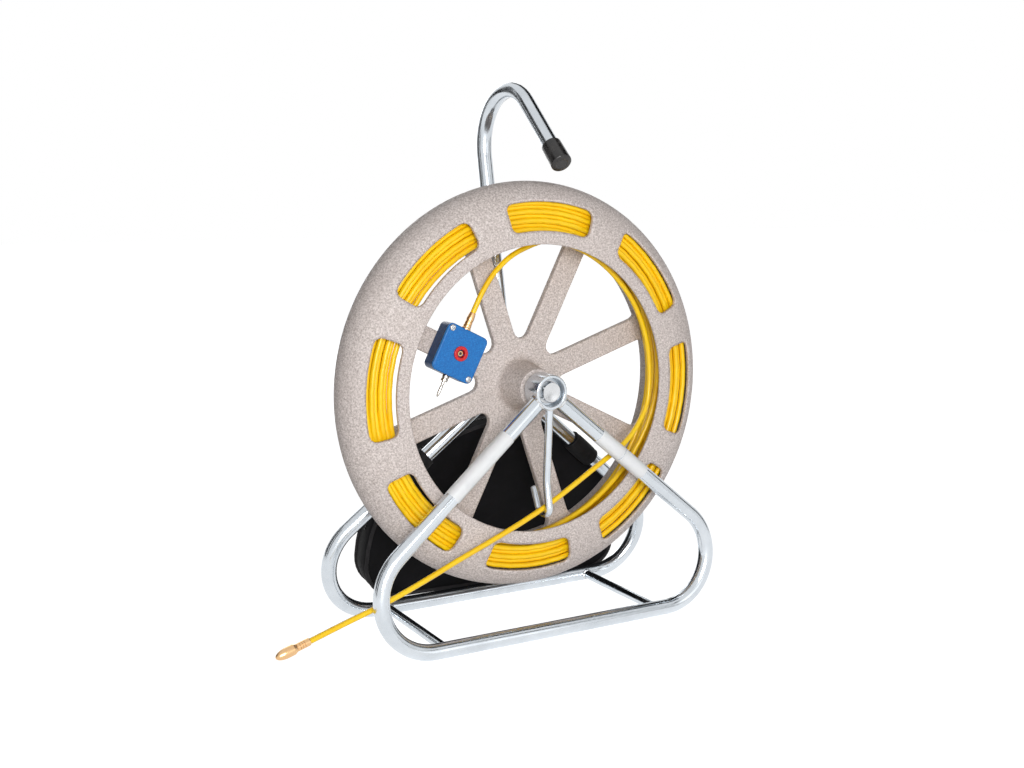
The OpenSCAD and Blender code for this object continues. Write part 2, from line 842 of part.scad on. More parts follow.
// Winding: s counts the turns from the inner end
function coil_place(s) =
    s < layer_turns ? [layer_r, coil_back - pitch * s]
    : s < layer_turns + 1 ? [layer_r + pitch * (s - layer_turns), front_y + pitch * (1 + layer_turns - s)]
    : [layer_r + pitch * (s - layer_turns), front_y];
function coil_point(s) =
    let (p = coil_place(s), t = coil_start - 360 * s)
    [p[0] * cos(t), p[1], p[0] * sin(t)];
coil_points = [for (i = [0 : floor(coil_turns * turn_steps)]) coil_point(i / turn_steps)];
coil_route = concat([link_start, link_start + rod_d * link_dir], link_route, coil_points);
near_turns = [for (i = [0 : len(coil_route) - 1 - turn_steps / 2])
    min([for (j = [i + turn_steps / 2 : len(coil_route) - 1]) norm(coil_route[i] - coil_route[j])])];
echo(least_gap_between_turns = min(near_turns) - rod_d);

module rod_coil() {
    color("gold") at_axle() swept_rod(coil_route, rod_d, coil_sides);
}

// The turns under the outer layer, as one plain ring
module coil_core() {
    bulge = core_r - face_r;
    color("goldenrod") at_axle() about_axle() polygon(concat(
        [[core_in, core_front + core_corner], [core_in + core_corner, core_front]],
        rim_arc(asin(core_front / core_depth), rim_turn(hoop_r + seat_gap, bulge), bulge, core_depth),
        [[hoop_r + seat_gap, core_step], [core_in, core_step]]));
}

// Junction box on its spoke
module at_lid_screws() {
    for (side = [-1, 1]) translate([side * lid_screw_at[0], side * lid_screw_at[1], 0]) children();
}

// A cylinder that runs out through the box's side: side is -1 for the rod and 1 for the pin
module through_side(side, d, from, to) {
    translate([0, side * from, entry_z]) rotate([-90 * side, 0, 0]) cylinder(d = d, h = to - from);
}

module box_body() {
    color("royalblue") at_axle() on_spoke() difference() {
        union() {
            difference() {
                translate([0, 0, body_back]) linear_extrude(body_front - body_back)
                    plate(box_w, box_h, box_corner);
                translate([0, 0, body_back + box_wall]) linear_extrude(body_front - body_back)
                    plate(box_w - 2 * box_wall, box_h - 2 * box_wall, box_corner - box_wall);
            }
            at_lid_screws() translate([0, 0, body_back]) cylinder(d = post_d, h = body_front - body_back);
        }
        at_lid_screws() translate([0, 0, body_back + box_wall])
            cylinder(d = lid_screw_d + 2 * hole_gap, h = body_front - body_back);
        for (side = [-1, 1]) translate([side * box_screw_x, 0, body_back - cut])
            cylinder(d = box_screw_d + 2 * hole_gap, h = box_wall + 2 * cut);
        through_side(-1, stub_d + 2 * hole_gap, box_h / 2 - box_wall - cut, box_h / 2 + cut);
        through_side(1, collar_stub_d + 2 * hole_gap, box_h / 2 - box_wall - cut, box_h / 2 + cut);
    }
}

module box_gasket() {
    color("black") at_axle() on_spoke() translate([0, 0, body_front]) linear_extrude(gasket_t)
        difference() {
            plate(box_w, box_h, box_corner);
            plate(box_w - 2 * box_wall, box_h - 2 * box_wall, box_corner - box_wall);
        }
}

module box_lid() {
    color("royalblue") at_axle() on_spoke() difference() {
        translate([0, 0, lid_back]) linear_extrude(lid_t) plate(box_w, box_h, box_corner);
        translate([0, 0, lid_back - cut]) cylinder(d = neck_d + 2 * hole_gap, h = lid_t + 2 * cut);
        at_lid_screws() translate([0, 0, lid_back - cut])
            cylinder(d = lid_screw_d + 2 * hole_gap, h = lid_t + 2 * cut);
    }
}

module lid_screws() {
    head_d = 8;
    head_t = 2;
    slot_w = 1.2;
    color("silver") at_axle() on_spoke() at_lid_screws() {
        translate([0, 0, body_back + box_wall + screw_end])
            cylinder(d = lid_screw_d, h = box_front - body_back - box_wall - screw_end);
        difference() {
            translate([0, 0, box_front]) cylinder(d = head_d, h = head_t);
            translate([0, 0, box_front + head_t]) cube([2 * head_d, slot_w, head_t], center = true);
        }
    }
}

module box_screws() {
    head_d = 7;
    head_t = 2.5;
    color("silver") at_axle() on_spoke() for (side = [-1, 1]) translate([side * box_screw_x, 0, 0]) {
        translate([0, 0, -spoke_back + screw_end])
            cylinder(d = box_screw_d, h = body_back + box_wall + spoke_back - screw_end);
        translate([0, 0, body_back + box_wall]) cylinder(d = head_d, h = head_t);
    }
}

module socket_shell() {
    color("crimson") at_axle() on_spoke() difference() {
        union() {
            translate([0, 0, box_front]) cylinder(d = socket_d, h = socket_flange);
            translate([0, 0, entry_z]) cylinder(d = neck_d, h = box_front - entry_z);
        }
        translate([0, 0, socket_floor]) cylinder(d = socket_hole_d, h = socket_front - socket_floor + cut);
        translate([0, 0, entry_z - cut])
            cylinder(d = contact_d + 2 * hole_gap, h = socket_front - entry_z);
    }
}

module socket_contact() {
    color("goldenrod") at_axle() on_spoke() difference() {
        translate([0, 0, contact_end]) cylinder(d = contact_d, h = contact_front - contact_end);
        translate([0, 0, contact_end + contact_floor])
            cylinder(d = contact_bore, h = contact_front - contact_end);
    }
}

module socket_nut() {
    nut_t = 3;
    nut_flats = 17;
    color("silver") at_axle() on_spoke() translate([0, 0, lid_back - nut_t]) difference() {
        cylinder(d = nut_flats / cos(30), h = nut_t, $fn = 6);
        translate([0, 0, -cut]) cylinder(d = neck_d + 2 * hole_gap, h = nut_t + 2 * cut);
    }
}

// The gland's stub goes through the wall, and its long end grips the rod
module rod_ferrule() {
    grip = rod_d + 2 * hole_gap;
    base = box_h / 2;
    stub = base - box_wall - stub_past;
    color("peru") at_axle() on_spoke() difference() {
        union() {
            through_side(-1, stub_d, stub, base);
            through_side(-1, gland_d, base, base + gland_len);
            through_side(-1, sleeve_d, base + gland_len, ferrule_tip + grip_len);
        }
        through_side(-1, grip, ferrule_tip - end_gap, ferrule_tip + grip_len + cut);
        through_side(-1, gland_bore, stub - cut, ferrule_tip);
    }
}

module pin_collar() {
    base = box_h / 2;
    stub = base - box_wall - stub_past;
    color("silver") at_axle() on_spoke() difference() {
        union() {
            through_side(1, collar_stub_d, stub, base);
            through_side(1, collar_d, base, base + collar_len);
        }
        through_side(1, pin_stub_d + 2 * hole_gap, stub - cut, base + collar_len + cut);
    }
}

module contact_pin() {
    seat = box_h / 2 + collar_len;
    point = 2;
    shoulder = seat + pin_len - point;
    color("gainsboro") at_axle() on_spoke() {
        through_side(1, pin_stub_d, box_h / 2 - box_wall - pin_inside, seat);
        through_side(1, pin_d, seat, shoulder);
        translate([0, shoulder, entry_z]) rotate([-90, 0, 0])
            cylinder(d1 = pin_d, d2 = pin_d / 2, h = point);
    }
}

module inner_wires() {
    reach = contact_d / 2 + end_gap;
    inside = box_h / 2 - box_wall - pin_inside - end_gap;
    color("red") at_axle() on_spoke() for (side = [-1, 1])
        translate([0, side * reach, wire_z]) rotate([-90 * side, 0, 0])
            cylinder(d = wire_d, h = inside - reach);
}

front_loop();
rear_loop();
left_cross_bar();
right_cross_bar();
front_bush();
rear_bush();
axle_bolt();
bolt_washer();
axle_nut();
nut_washer();
front_thrust_washer();
rear_thrust_washer();
carry_handle();
handle_cap();
guide_arm();
left_label();
right_labels();
storage_bag();
left_strap();
right_strap();
free_rod();
rod_sleeve();
rod_nose();
drum_front();
drum_back();
rim_screws();
front_bearing();
rear_bearing();
coil_core();
rod_coil();
rod_ferrule();
box_body();
box_gasket();
box_lid();
lid_screws();
box_screws();
socket_shell();
socket_contact();
socket_nut();
pin_collar();
contact_pin();
inner_wires();
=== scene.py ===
# %% [markdown]
# # Duct rod reel
# A stiff yellow rod is wound in a grey drum, and the drum turns on a frame of bent zinc-plated tube.
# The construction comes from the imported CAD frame. This script dresses it: every visible surface is
# modelled again with the edges, seams and finish that it has on the real object.
# The first step loads the frame, and notes its box so that the size can be compared at the end.

# %% Load the frame
import json
from math import acos, atan, atan2, ceil, cos, degrees, exp, floor, hypot, pi, radians, sin, sqrt, tan

import bmesh
import bpy
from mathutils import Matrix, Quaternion, Vector, noise


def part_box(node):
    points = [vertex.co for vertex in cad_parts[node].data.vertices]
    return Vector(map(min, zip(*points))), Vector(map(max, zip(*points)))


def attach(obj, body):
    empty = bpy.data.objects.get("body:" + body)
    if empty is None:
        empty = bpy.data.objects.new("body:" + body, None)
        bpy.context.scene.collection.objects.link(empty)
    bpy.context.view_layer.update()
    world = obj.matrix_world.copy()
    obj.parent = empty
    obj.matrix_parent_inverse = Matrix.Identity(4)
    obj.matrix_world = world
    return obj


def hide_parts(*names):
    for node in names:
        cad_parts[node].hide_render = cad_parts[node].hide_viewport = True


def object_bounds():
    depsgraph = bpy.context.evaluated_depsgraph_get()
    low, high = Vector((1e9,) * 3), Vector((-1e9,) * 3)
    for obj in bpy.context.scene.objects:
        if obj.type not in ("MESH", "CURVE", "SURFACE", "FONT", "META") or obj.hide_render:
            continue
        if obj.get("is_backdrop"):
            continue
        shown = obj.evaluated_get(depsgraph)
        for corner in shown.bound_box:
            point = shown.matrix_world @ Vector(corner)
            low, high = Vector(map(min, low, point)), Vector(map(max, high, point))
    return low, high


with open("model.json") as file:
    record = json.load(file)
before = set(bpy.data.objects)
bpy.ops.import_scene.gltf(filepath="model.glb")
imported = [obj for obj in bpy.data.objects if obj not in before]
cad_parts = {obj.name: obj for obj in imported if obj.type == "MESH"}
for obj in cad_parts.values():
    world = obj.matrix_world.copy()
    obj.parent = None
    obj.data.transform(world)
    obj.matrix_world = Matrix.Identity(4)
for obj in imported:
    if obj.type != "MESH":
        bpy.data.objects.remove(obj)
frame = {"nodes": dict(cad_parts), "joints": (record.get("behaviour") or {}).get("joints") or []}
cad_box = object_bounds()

# %% [markdown]
# ## Millimetres from the axle
# A maker measures a reel from its axle, so all sizes below are millimetres from the middle of the drum:
# x to the right, y to the back, z up. One function turns such points into the frame's metres.

# %% Axle coordinates
MM = 0.001
AXLE = Vector(frame["joints"][0]["pos_m"])


def place(point):
    """A point in millimetres from the axle, as a place in the frame."""
    return AXLE + MM * Vector(point)


def span(node):
    """Lowest and highest corner of a CAD node, in millimetres from the axle."""
    low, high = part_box(node)
    return (low - AXLE) / MM, (high - AXLE) / MM


drum_low, drum_high = span("drum_front")
drum_r = drum_high.x
half_depth = -drum_low.y
floor_z = -AXLE.z / MM
tube_r = span("carry_handle")[1].x
arm_r = span("guide_arm")[1].x
cross_r = (span("left_cross_bar")[1].x - span("left_cross_bar")[0].x) / 2
bush_r = span("front_bush")[1].x
bush_out = -span("front_bush")[0].y
bush_in = -span("front_bush")[1].y
print(f"drum {2 * drum_r:.0f} mm across, {2 * half_depth:.0f} mm deep, axle {-floor_z:.0f} mm high")

# %% [markdown]
# ## Camera
# The camera stands where the photograph was taken: left of the reel and a little above its axle.
# A camera could be aimed with a constraint, but a plain rotation towards the target is easier to read.

# %% Camera
target = Vector((0.0, -0.018655, 0.3098))


def show(name, data):
    """A new object in the scene."""
    made = bpy.data.objects.new(name, data)
    bpy.context.scene.collection.objects.link(made)
    return made


def aim(made, spot):
    """Stands a camera or a lamp at a spot and turns it to the drum."""
    made.location = spot
    made.rotation_mode = "QUATERNION"
    made.rotation_quaternion = (target - Vector(spot)).to_track_quat("-Z", "Y")


view = bpy.data.cameras.new("camera")
view.sensor_width = 36.0
view.lens = 44.94
view.shift_x = -0.0095
view.shift_y = 0.0006
camera = show("camera", view)
aim(camera, (-0.8066, -1.43806, 0.5623))
bpy.context.scene.camera = camera
bpy.context.scene.view_settings.view_transform = "Standard"
print(f"camera {(target - camera.location).length:.2f} m from the drum")

# %% [markdown]
# ## Shader maths
# A finish is a small network of nodes. It could be wired by hand in the shader editor, but Python
# expressions are easier to read: `Field` wraps one socket, so that `1 - mask * 0.4` adds the Math nodes by
# itself. `Network.node` adds any other node from its type, its settings and its sockets.

# %% Fields
def operator(operation, swapped=False):
    """A Python operator that adds one Math node."""
    def apply(self, other):
        pair = (other, self) if swapped else (self, other)
        return self.network.node("ShaderNodeMath", {"operation": operation}, dict(enumerate(pair)))
    return apply


class Field:
    """A value inside a network. Python maths on it adds Math nodes."""

    def __init__(self, network, socket):
        self.network = network
        self.socket = socket

    __add__ = operator("ADD")
    __radd__ = operator("ADD", swapped=True)
    __sub__ = operator("SUBTRACT")
    __rsub__ = operator("SUBTRACT", swapped=True)
    __mul__ = operator("MULTIPLY")
    __rmul__ = operator("MULTIPLY", swapped=True)


print("fields understand + - *")


# %% Networks and finishes
class Network:
    """The nodes of a finish or of the surround, round one shader."""

    def __init__(self, tree, shader):
        self.tree = tree
        self.shader = tree.nodes[shader]

    def set(self, **sockets):
        for name, value in sockets.items():
            self.feed(self.shader.inputs[name.replace("_", " ")], value)

    def feed(self, socket, value):
        if isinstance(value, Field):
            self.tree.links.new(value.socket, socket)
        elif socket.type == "RGBA":
            socket.default_value = (*value, 1.0)
        else:
            socket.default_value = value

    def node(self, kind, settings=None, sockets=None, output=0):
        made = self.tree.nodes.new(kind)
        for name, value in (settings or {}).items():
            if name == "stops":
                for element, (position, level) in zip(made.color_ramp.elements, value):
                    element.position = position
                    element.color = (level, level, level, 1.0)
            else:
                setattr(made, name, value)
        for key, value in (sockets or {}).items():
            self.feed(made.inputs[key], value)
        return Field(self, made.outputs[output])


class Finish(Network):
    """One material: a Principled shader, and the fields that feed it."""

    def __init__(self, name, **constants):
        self.material = bpy.data.materials.new(name)
        self.material.use_nodes = True
        super().__init__(self.material.node_tree, "Principled BSDF")
        self.set(**constants)

    def place(self):
        """The point on the surface, in metres."""
        return self.node("ShaderNodeTexCoord", output="Object")

    def noise(self, size, detail, roughness):
        """Noise from 0 to 1 whose blobs are about size millimetres across."""
        sockets = {"Vector": self.place(), "Scale": 1 / (size * MM), "Detail": detail, "Roughness": roughness}
        return self.node("ShaderNodeTexNoise", {}, sockets)

    def patches(self, size, detail, roughness, low, high):
        """Noise stretched so that low becomes 0 and high becomes 1."""
        stops = {"stops": [(low, 0.0), (high, 1.0)]}
        return self.node("ShaderNodeValToRGB", stops, {0: self.noise(size, detail, roughness)})

    def mix(self, factor, first, second):
        """Two colours, from the first at factor 0 to the second at 1."""
        return self.node("ShaderNodeMix", {"data_type": "RGBA"}, {0: factor, 6: first, 7: second}, 2)

    def bump(self, height, depth, strength):
        """Relief of about depth millimetres."""
        sockets = {"Height": height, "Distance": depth * MM, "Strength": strength}
        return self.node("ShaderNodeBump", {}, sockets)

    def grain(self, size, detail, roughness, depth, strength):
        """Relief made by noise."""
        return self.bump(self.noise(size, detail, roughness), depth, strength)


print("shader helpers ready")

# %% [markdown]
# ## Yellow rod sheath
# The rod is glass fibre under a smooth yellow sheath. One plain colour would look like paint. Handling makes
# a real sheath darker and duller in places, so a slow noise shifts the colour and the gloss, and a fine one
# gives the drawn surface.

# %% Rod finish
def rod_finish():
    finish = Finish("rod_sheath", Specular_IOR_Level=0.4, Coat_Roughness=0.2)
    wear = finish.patches(38.0, 4.0, 0.5, 0.35, 0.7)
    grime = finish.patches(9.0, 5.0, 0.65, 0.5, 0.8)
    sheath = finish.mix(wear, (0.97, 0.64, 0.006), (0.93, 0.56, 0.005))
    finish.set(Base_Color=finish.mix(grime * 0.2, sheath, (0.70, 0.36, 0.01)), Roughness=0.3 + grime * 0.25,
               Coat_Weight=0.25 - wear * 0.15, Normal=finish.grain(1.6, 3.0, 0.5, 0.05, 0.35))
    return finish.material


rod_sheath = rod_finish()
print("finish:", rod_sheath.name)

# %% [markdown]
# ## Free end of the rod
# The last stretch of the rod leaves the wound turns at the top, follows them round to the right, drops
# over the guide hook and reaches out past the left leg to its brass end. It is stiff, so its route is a
# list of given points, joined by one smooth curve through all of them.

# %% Free rod
rod_d = 7.0
FREE_ROUTE = [
    (-16.5, -20, 188.5), (16.5, -20, 187.5), (48.5, -20, 181), (78.5, -20, 169), (106, -20, 152),
    (130, -20, 130), (150, -20, 105), (165, -20, 77), (175, -20, 47), (179, -20, 15.5),
    (178.5, -21, -12), (173, -24, -36), (160, -28, -55), (143, -33, -72), (122, -38, -86),
    (98, -42, -98), (68, -46, -113), (36, -49, -130), (5, -51, -146), (-38, -53, -165),
    (-82, -55, -182), (-125, -57, -198), (-168, -58.5, -215), (-206, -60, -229), (-243, -61.5, -241),
    (-280, -64, -251), (-313, -67, -260), (-332, -69, -265),
]


def smooth_route(points, steps=6):
    """Points on a smooth curve through all the given ones."""
    knots = [Vector(p) for p in points]
    knots = [2 * knots[0] - knots[1], *knots, 2 * knots[-1] - knots[-2]]
    made = []
    for a, b, c, d in zip(knots, knots[1:], knots[2:], knots[3:]):
        for k in range(steps):
            t = k / steps
            made.append(0.5 * (2 * b + (c - a) * t + (2 * a - 5 * b + 4 * c - d) * t * t
                               + (3 * b - a - 3 * c + d) * t * t * t))
    return [*made, knots[-2]]


def rod_curve(name, points):
    """A round rod along points, as a curve of one open spline."""
    data = bpy.data.curves.new(name, "CURVE")
    data.dimensions = "3D"
    data.bevel_depth = rod_d / 2 * MM
    data.bevel_resolution = 3
    data.use_fill_caps = True
    spline = data.splines.new("POLY")
    spline.points.add(len(points) - 1)
    for knot, point in zip(spline.points, points):
        knot.co = (*place(point), 1.0)
    spline.use_smooth = True
    data.materials.append(rod_sheath)
    return show(name, data)


free_path = smooth_route(FREE_ROUTE)
free_length = sum((b - a).length for a, b in zip(free_path, free_path[1:]))
free_rod = rod_curve("free_rod_end", free_path)
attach(free_rod, "frame")
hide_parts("free_rod")
print(f"free rod: {free_length:.0f} mm over {len(FREE_ROUTE)} points")

# %% [markdown]
# ## Mesh helpers
# Nearly every part here is a skin over a row of rings: a tube is circles along a path, a turned part is
# circles about an axis, and a moulded shell is outlines at different depths. So one function joins rings
# with quads, and a second one makes a piece from the result, gives it a finish and lets it ride a body.

# %% Skins and pieces
def skin(rings, around=True, along=False, caps=(False, False)):
    """Corners and faces over rings of equal counts. around closes each ring, along joins last to first."""
    count = len(rings[0])
    corners = [Vector(p) for ring in rings for p in ring]
    faces = []
    for i in range(len(rings) if along else len(rings) - 1):
        low = i * count
        high = (i + 1) % len(rings) * count
        for k in range(count if around else count - 1):
            n = (k + 1) % count
            faces.append((low + k, low + n, high + n, high + k))
    if caps[0]:
        faces.append(tuple(range(count))[::-1])
    if caps[1]:
        faces.append(tuple(range(len(corners) - count, len(corners))))
    return corners, faces


def join(*skins):
    """Several skins as one."""
    corners = []
    faces = []
    for more_corners, more_faces in skins:
        start = len(corners)
        corners.extend(more_corners)
        faces.extend(tuple(i + start for i in face) for face in more_faces)
    return corners, faces


def piece(name, made, body, finish, replaced=(), sharp=35.0, level=False):
    """A finished piece of the object. level keeps flat faces flat beside small fillets."""
    mesh = bpy.data.meshes.new(name)
    mesh.from_pydata([place(p) for p in made[0]], [], made[1])
    shape = bmesh.new()
    shape.from_mesh(mesh)
    bmesh.ops.remove_doubles(shape, verts=shape.verts, dist=0.01 * MM)
    bmesh.ops.recalc_face_normals(shape, faces=shape.faces)
    shape.to_mesh(mesh)
    shape.free()
    mesh.polygons.foreach_set("use_smooth", [True] * len(mesh.polygons))
    mesh.set_sharp_from_angle(angle=radians(sharp))
    mesh.materials.append(finish)
    made_piece = show(name, mesh)
    if level:
        normals = made_piece.modifiers.new("level", "WEIGHTED_NORMAL")
        normals.keep_sharp = True
    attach(made_piece, body)
    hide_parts(*replaced)
    print(f"{name}: {len(mesh.polygons)} faces")
    return made_piece


print("skin, join and piece ready")

# %% Rounded paths
WHOLE_END = 0.99
HALF_SIDE = 0.49


def rounded(points, radius, closed=False, step=12.0):
    """A flat polyline with round corners. radius is one number, or one for each point.

    A corner may use nearly the whole of an end stretch, and nearly half of any other."""
    knots = [Vector(p) for p in points]
    count = len(knots)
    made = []
    for i, knot in enumerate(knots):
        r = radius[i] if isinstance(radius, list) else radius
        before = knot - knots[i - 1]
        after = knots[(i + 1) % count] - knot
        turn = before.angle(after, 0.0)
        if r == 0 or turn < 0.001 or not closed and i in (0, count - 1):
            made.append(knot)
            continue
        room_before = before.length * (WHOLE_END if i == 1 and not closed else HALF_SIDE)
        room_after = after.length * (WHOLE_END if i == count - 2 and not closed else HALF_SIDE)
        r = min(r, min(room_before, room_after) / tan(turn / 2))
        setback = r * tan(turn / 2)
        came, goes = before.normalized(), after.normalized()
        start = knot - came * setback
        end = knot + goes * setback
        centre = knot + (goes - came).normalized() * (r / cos(turn / 2))
        steps = max(2, ceil(degrees(turn) / step))
        for k in range(steps + 1):
            t = turn * (k / steps - 0.5)
            spoke = (start - centre) * sin(turn / 2 - t) + (end - centre) * sin(turn / 2 + t)
            made.append(centre + spoke / sin(turn))
    return made


square = [(1, 1), (-1, 1), (-1, -1), (1, -1)]
print("a square with round corners has", len(rounded(square, 0.2, closed=True)), "points")


# %% Tubes and turned parts
def full_turn(sides):
    """Angles of so many points on a circle."""
    return [2 * pi * k / sides for k in range(sides)]


def circle(radius, sides):
    return [(radius * cos(t), radius * sin(t)) for t in full_turn(sides)]


def sweep(path, outline, closed=False):
    """A flat outline carried along a path without twist. outline may be one list, or one for each point."""
    knots = [Vector(p) for p in path]
    count = len(knots)
    ahead = []
    for i in range(count):
        back = knots[i - 1] if closed or i > 0 else knots[i]
        forth = knots[(i + 1) % count] if closed or i < count - 1 else knots[i]
        ahead.append((forth - back).normalized())
    side = ahead[0].orthogonal().normalized()
    rings = []
    for i, knot in enumerate(knots):
        if i > 0:
            hinge = ahead[i - 1].cross(ahead[i]).normalized()
            side = Quaternion(hinge, ahead[i - 1].angle(ahead[i], 0.0)) @ side
            side = (side - ahead[i] * side.dot(ahead[i])).normalized()
        up = ahead[i].cross(side)
        flat = outline[i] if isinstance(outline[0], list) else outline
        rings.append([knot + side * a + up * b for a, b in flat])
    return skin(rings, along=closed, caps=(not closed, not closed))


def lathe(profile, foot=(0, 0, 0), axis=(0, 1, 0), sides=72, closed=False):
    """A turned part: profile holds (radius, distance along the axis) pairs."""
    axis = Vector(axis).normalized()
    side = axis.orthogonal().normalized()
    up = axis.cross(side)
    foot = Vector(foot)
    rings = [[foot + axis * h + side * a + up * b for a, b in circle(r, sides)] for r, h in profile]
    return skin(rings, along=closed)


print("mesh helpers ready")

# %% [markdown]
# ## Zinc finish
# The frame is bright zinc plate: nearly a mirror, a little blue, with soft smears where hands have been.
# Metal looks like what it reflects, so the finish stays simple, and the studio's dark cards draw the lines.

# %% Zinc and steel finishes
def metal_finish(name, bright, shade, gloss, smear):
    finish = Finish(name, Metallic=1.0)
    cloud = finish.patches(45.0, 4.0, 0.6, 0.3, 0.75)
    scuff = finish.patches(3.0, 6.0, 0.7, 0.55, 0.85)
    finish.set(Base_Color=finish.mix(cloud * 0.6 + scuff * 0.3, bright, shade),
               Roughness=gloss + cloud * smear + scuff * smear * 0.8,
               Normal=finish.grain(7.0, 2.0, 0.5, 0.03, 0.25))
    return finish.material


zinc = metal_finish("zinc_plate", (0.66, 0.70, 0.74), (0.48, 0.52, 0.56), 0.14, 0.13)
steel = metal_finish("bright_steel", (0.68, 0.69, 0.70), (0.50, 0.51, 0.53), 0.18, 0.14)
print("metal finishes:", zinc.name, steel.name)

# %% [markdown]
# ## Frame tubes
# Each loop is one tube: two legs, two bends and the base run between them. A curve with a bevel would do,
# but a swept skin lets the tube stop inside the bush. The leg planes lean a little, so the path is drawn
# flat first and then laid on its plane.

# %% Frame loops and cross bars
base_half = 355.0
bend_r = 68.0
tube_start = bush_r - 2.0
tube_sides = 40
bar_sides = 28
bend_step = 4.0
front_set = 11.0
rear_set = 15.0


def leg_plane(apex, base):
    """Turns flat (across, up, out of the plane) into millimetres from the axle. Also gives the height."""
    rise = floor_z + tube_r
    lean = atan((base - apex) / rise)
    c, s = cos(lean), sin(lean)

    def lay(u, v, w=0.0):
        return Vector((u, apex + v * s + w * c, v * c - w * s))
    return lay, -rise / c


front_apex = front_set - bush_out
front_base = span("front_loop")[0].y + tube_r
rear_apex = bush_out - rear_set
rear_base = span("rear_loop")[1].y - tube_r
front_lay, front_rise = leg_plane(front_apex, front_base)
rear_lay, rear_rise = leg_plane(rear_apex, rear_base)


def loop(name, node, lay, rise):
    start = Vector((base_half, -rise)).normalized() * tube_start
    corners = [start, (base_half, -rise), (-base_half, -rise), (-start.x, start.y)]
    path = [lay(*p) for p in rounded(corners, bend_r, step=bend_step)]
    piece(name, sweep(path, circle(tube_r, tube_sides)), "frame", zinc, [node])


def leg_line(lay, rise, side):
    """Start and direction of a leg's middle line."""
    return lay(0, 0), (lay(side * base_half, -rise) - lay(0, 0)).normalized()


loop("front_tube", "front_loop", front_lay, front_rise)
loop("rear_tube", "rear_loop", rear_lay, rear_rise)

cross_x = span("right_cross_bar")[1].x - cross_r
for name, side in (("left_cross", -1), ("right_cross", 1)):
    ends = [(side * cross_x, front_base, floor_z + tube_r), (side * cross_x, rear_base, floor_z + tube_r)]
    piece(name, sweep(ends, circle(cross_r, bar_sides)), "frame", zinc, [f"{name}_bar"])

# %% [markdown]
# ## Carry handle and its cap
# The handle rises from the rear bush, bends over the drum and ends in a rubber cap that keeps the bare
# tube end off hands and floors. It is swept like the loops, so that its bend matches theirs. The cap could be
# a capped cylinder, but a turned profile gives it a soft edge and a small moulding dimple.

# %% Handle
handle_y = (bush_in + bush_out) / 2
handle_rise = 298.0
handle_lean = radians(11.4)
handle_turn = radians(143.5)
handle_reach = 110.5
handle_set = bend_r * tan(handle_turn / 2)
rise_dir = Vector((sin(handle_lean), cos(handle_lean)))
end_heading = pi / 2 - handle_lean + handle_turn
end_dir = Vector((cos(end_heading), sin(end_heading)))
handle_corner = Vector((handle_y, 0)) + (handle_rise + handle_set) * rise_dir
handle_end = handle_corner + (handle_set + handle_reach) * end_dir
handle_start = Vector((handle_y, 0)) + tube_start * rise_dir
handle_path = rounded([handle_start, handle_corner, handle_end], bend_r, step=bend_step)
handle = sweep([(0, *p) for p in handle_path], circle(tube_r, tube_sides))
piece("handle_tube", handle, "frame", zinc, ["carry_handle"])


# %% Handle cap
def worn_finish(name, clean, worn, gloss, dulling, patch, grain, specular=0.5):
    """Rubber, plastic or film. Worn patches change colour and gloss, and a grain gives relief."""
    finish = Finish(name, Specular_IOR_Level=specular)
    wear = finish.patches(*patch)
    finish.set(Base_Color=finish.mix(wear, clean, worn), Roughness=gloss + wear * dulling,
               Normal=finish.grain(*grain))
    return finish.material


rubber = worn_finish("black_rubber", (0.012, 0.011, 0.011), (0.035, 0.032, 0.030), 0.22, dulling=0.3,
                     patch=(14.0, 5.0, 0.65, 0.45, 0.8), grain=(0.9, 3.0, 0.6, 0.08, 0.4))
cap_r = span("handle_cap")[1].x
cap_grip = 30.0
cap_end = 3.0
cap_profile = rounded([(tube_r, -cap_grip), (cap_r - 0.6, -cap_grip), (cap_r, 0), (cap_r, cap_end),
                       (0.6 * cap_r, cap_end + 1.2), (0.5 * cap_r, cap_end + 0.6), (0, cap_end + 0.9)],
                      [0, 0.9, 8, 3.4, 1, 1, 0])
cap = lathe(cap_profile, (0, *handle_end), (0, *end_dir))
piece("handle_end_cap", cap, "frame", rubber, ["handle_cap"])

# %% [markdown]
# ## Bushes and axle
# Two bushes carry the axle bolt, and the legs, the handle and the guide arm are welded to them. Each has a
# recess that hides the bolt head or the nut. A hole could be cut in a cylinder, but these are turned parts,
# so each is one profile about the axle, with a small radius at every edge.

# %% Bushes
recess_r = 18.0
recess_end = bush_out - 14.0
axle_r = 8.0
bore_r = axle_r + 0.2


def bush(name, node, side):
    profile = rounded([(bore_r, bush_in), (bush_r, bush_in), (bush_r, bush_out), (recess_r, bush_out),
                       (recess_r, recess_end), (bore_r, recess_end)], [0, 1.2, 1.6, 1.0, 0.6, 0])
    made = lathe([(r, side * y) for r, y in profile], sides=96)
    piece(name, made, "frame", zinc, [node])


bush("front_bush_ring", "front_bush", -1)
bush("rear_bush_ring", "rear_bush", 1)

# %% Hex head, nut and washers
hex_flats = 24.0
hex_chamfer = hex_flats / 2 + 0.3
hex_bevel = 1.2
washer_in = axle_r + 0.3
washer_r = 15.0
washer_out = recess_end + 3.0
hex_out = washer_out + 10.0


def hex_ring(limit, height):
    """A hexagon whose corners are turned down to a circle of the given radius."""
    ring = []
    for t in full_turn(72):
        corner = t % (pi / 3) - pi / 6
        r = min(hex_flats / 2 / cos(corner), limit)
        ring.append((r * sin(t), height, r * cos(t)))
    return ring


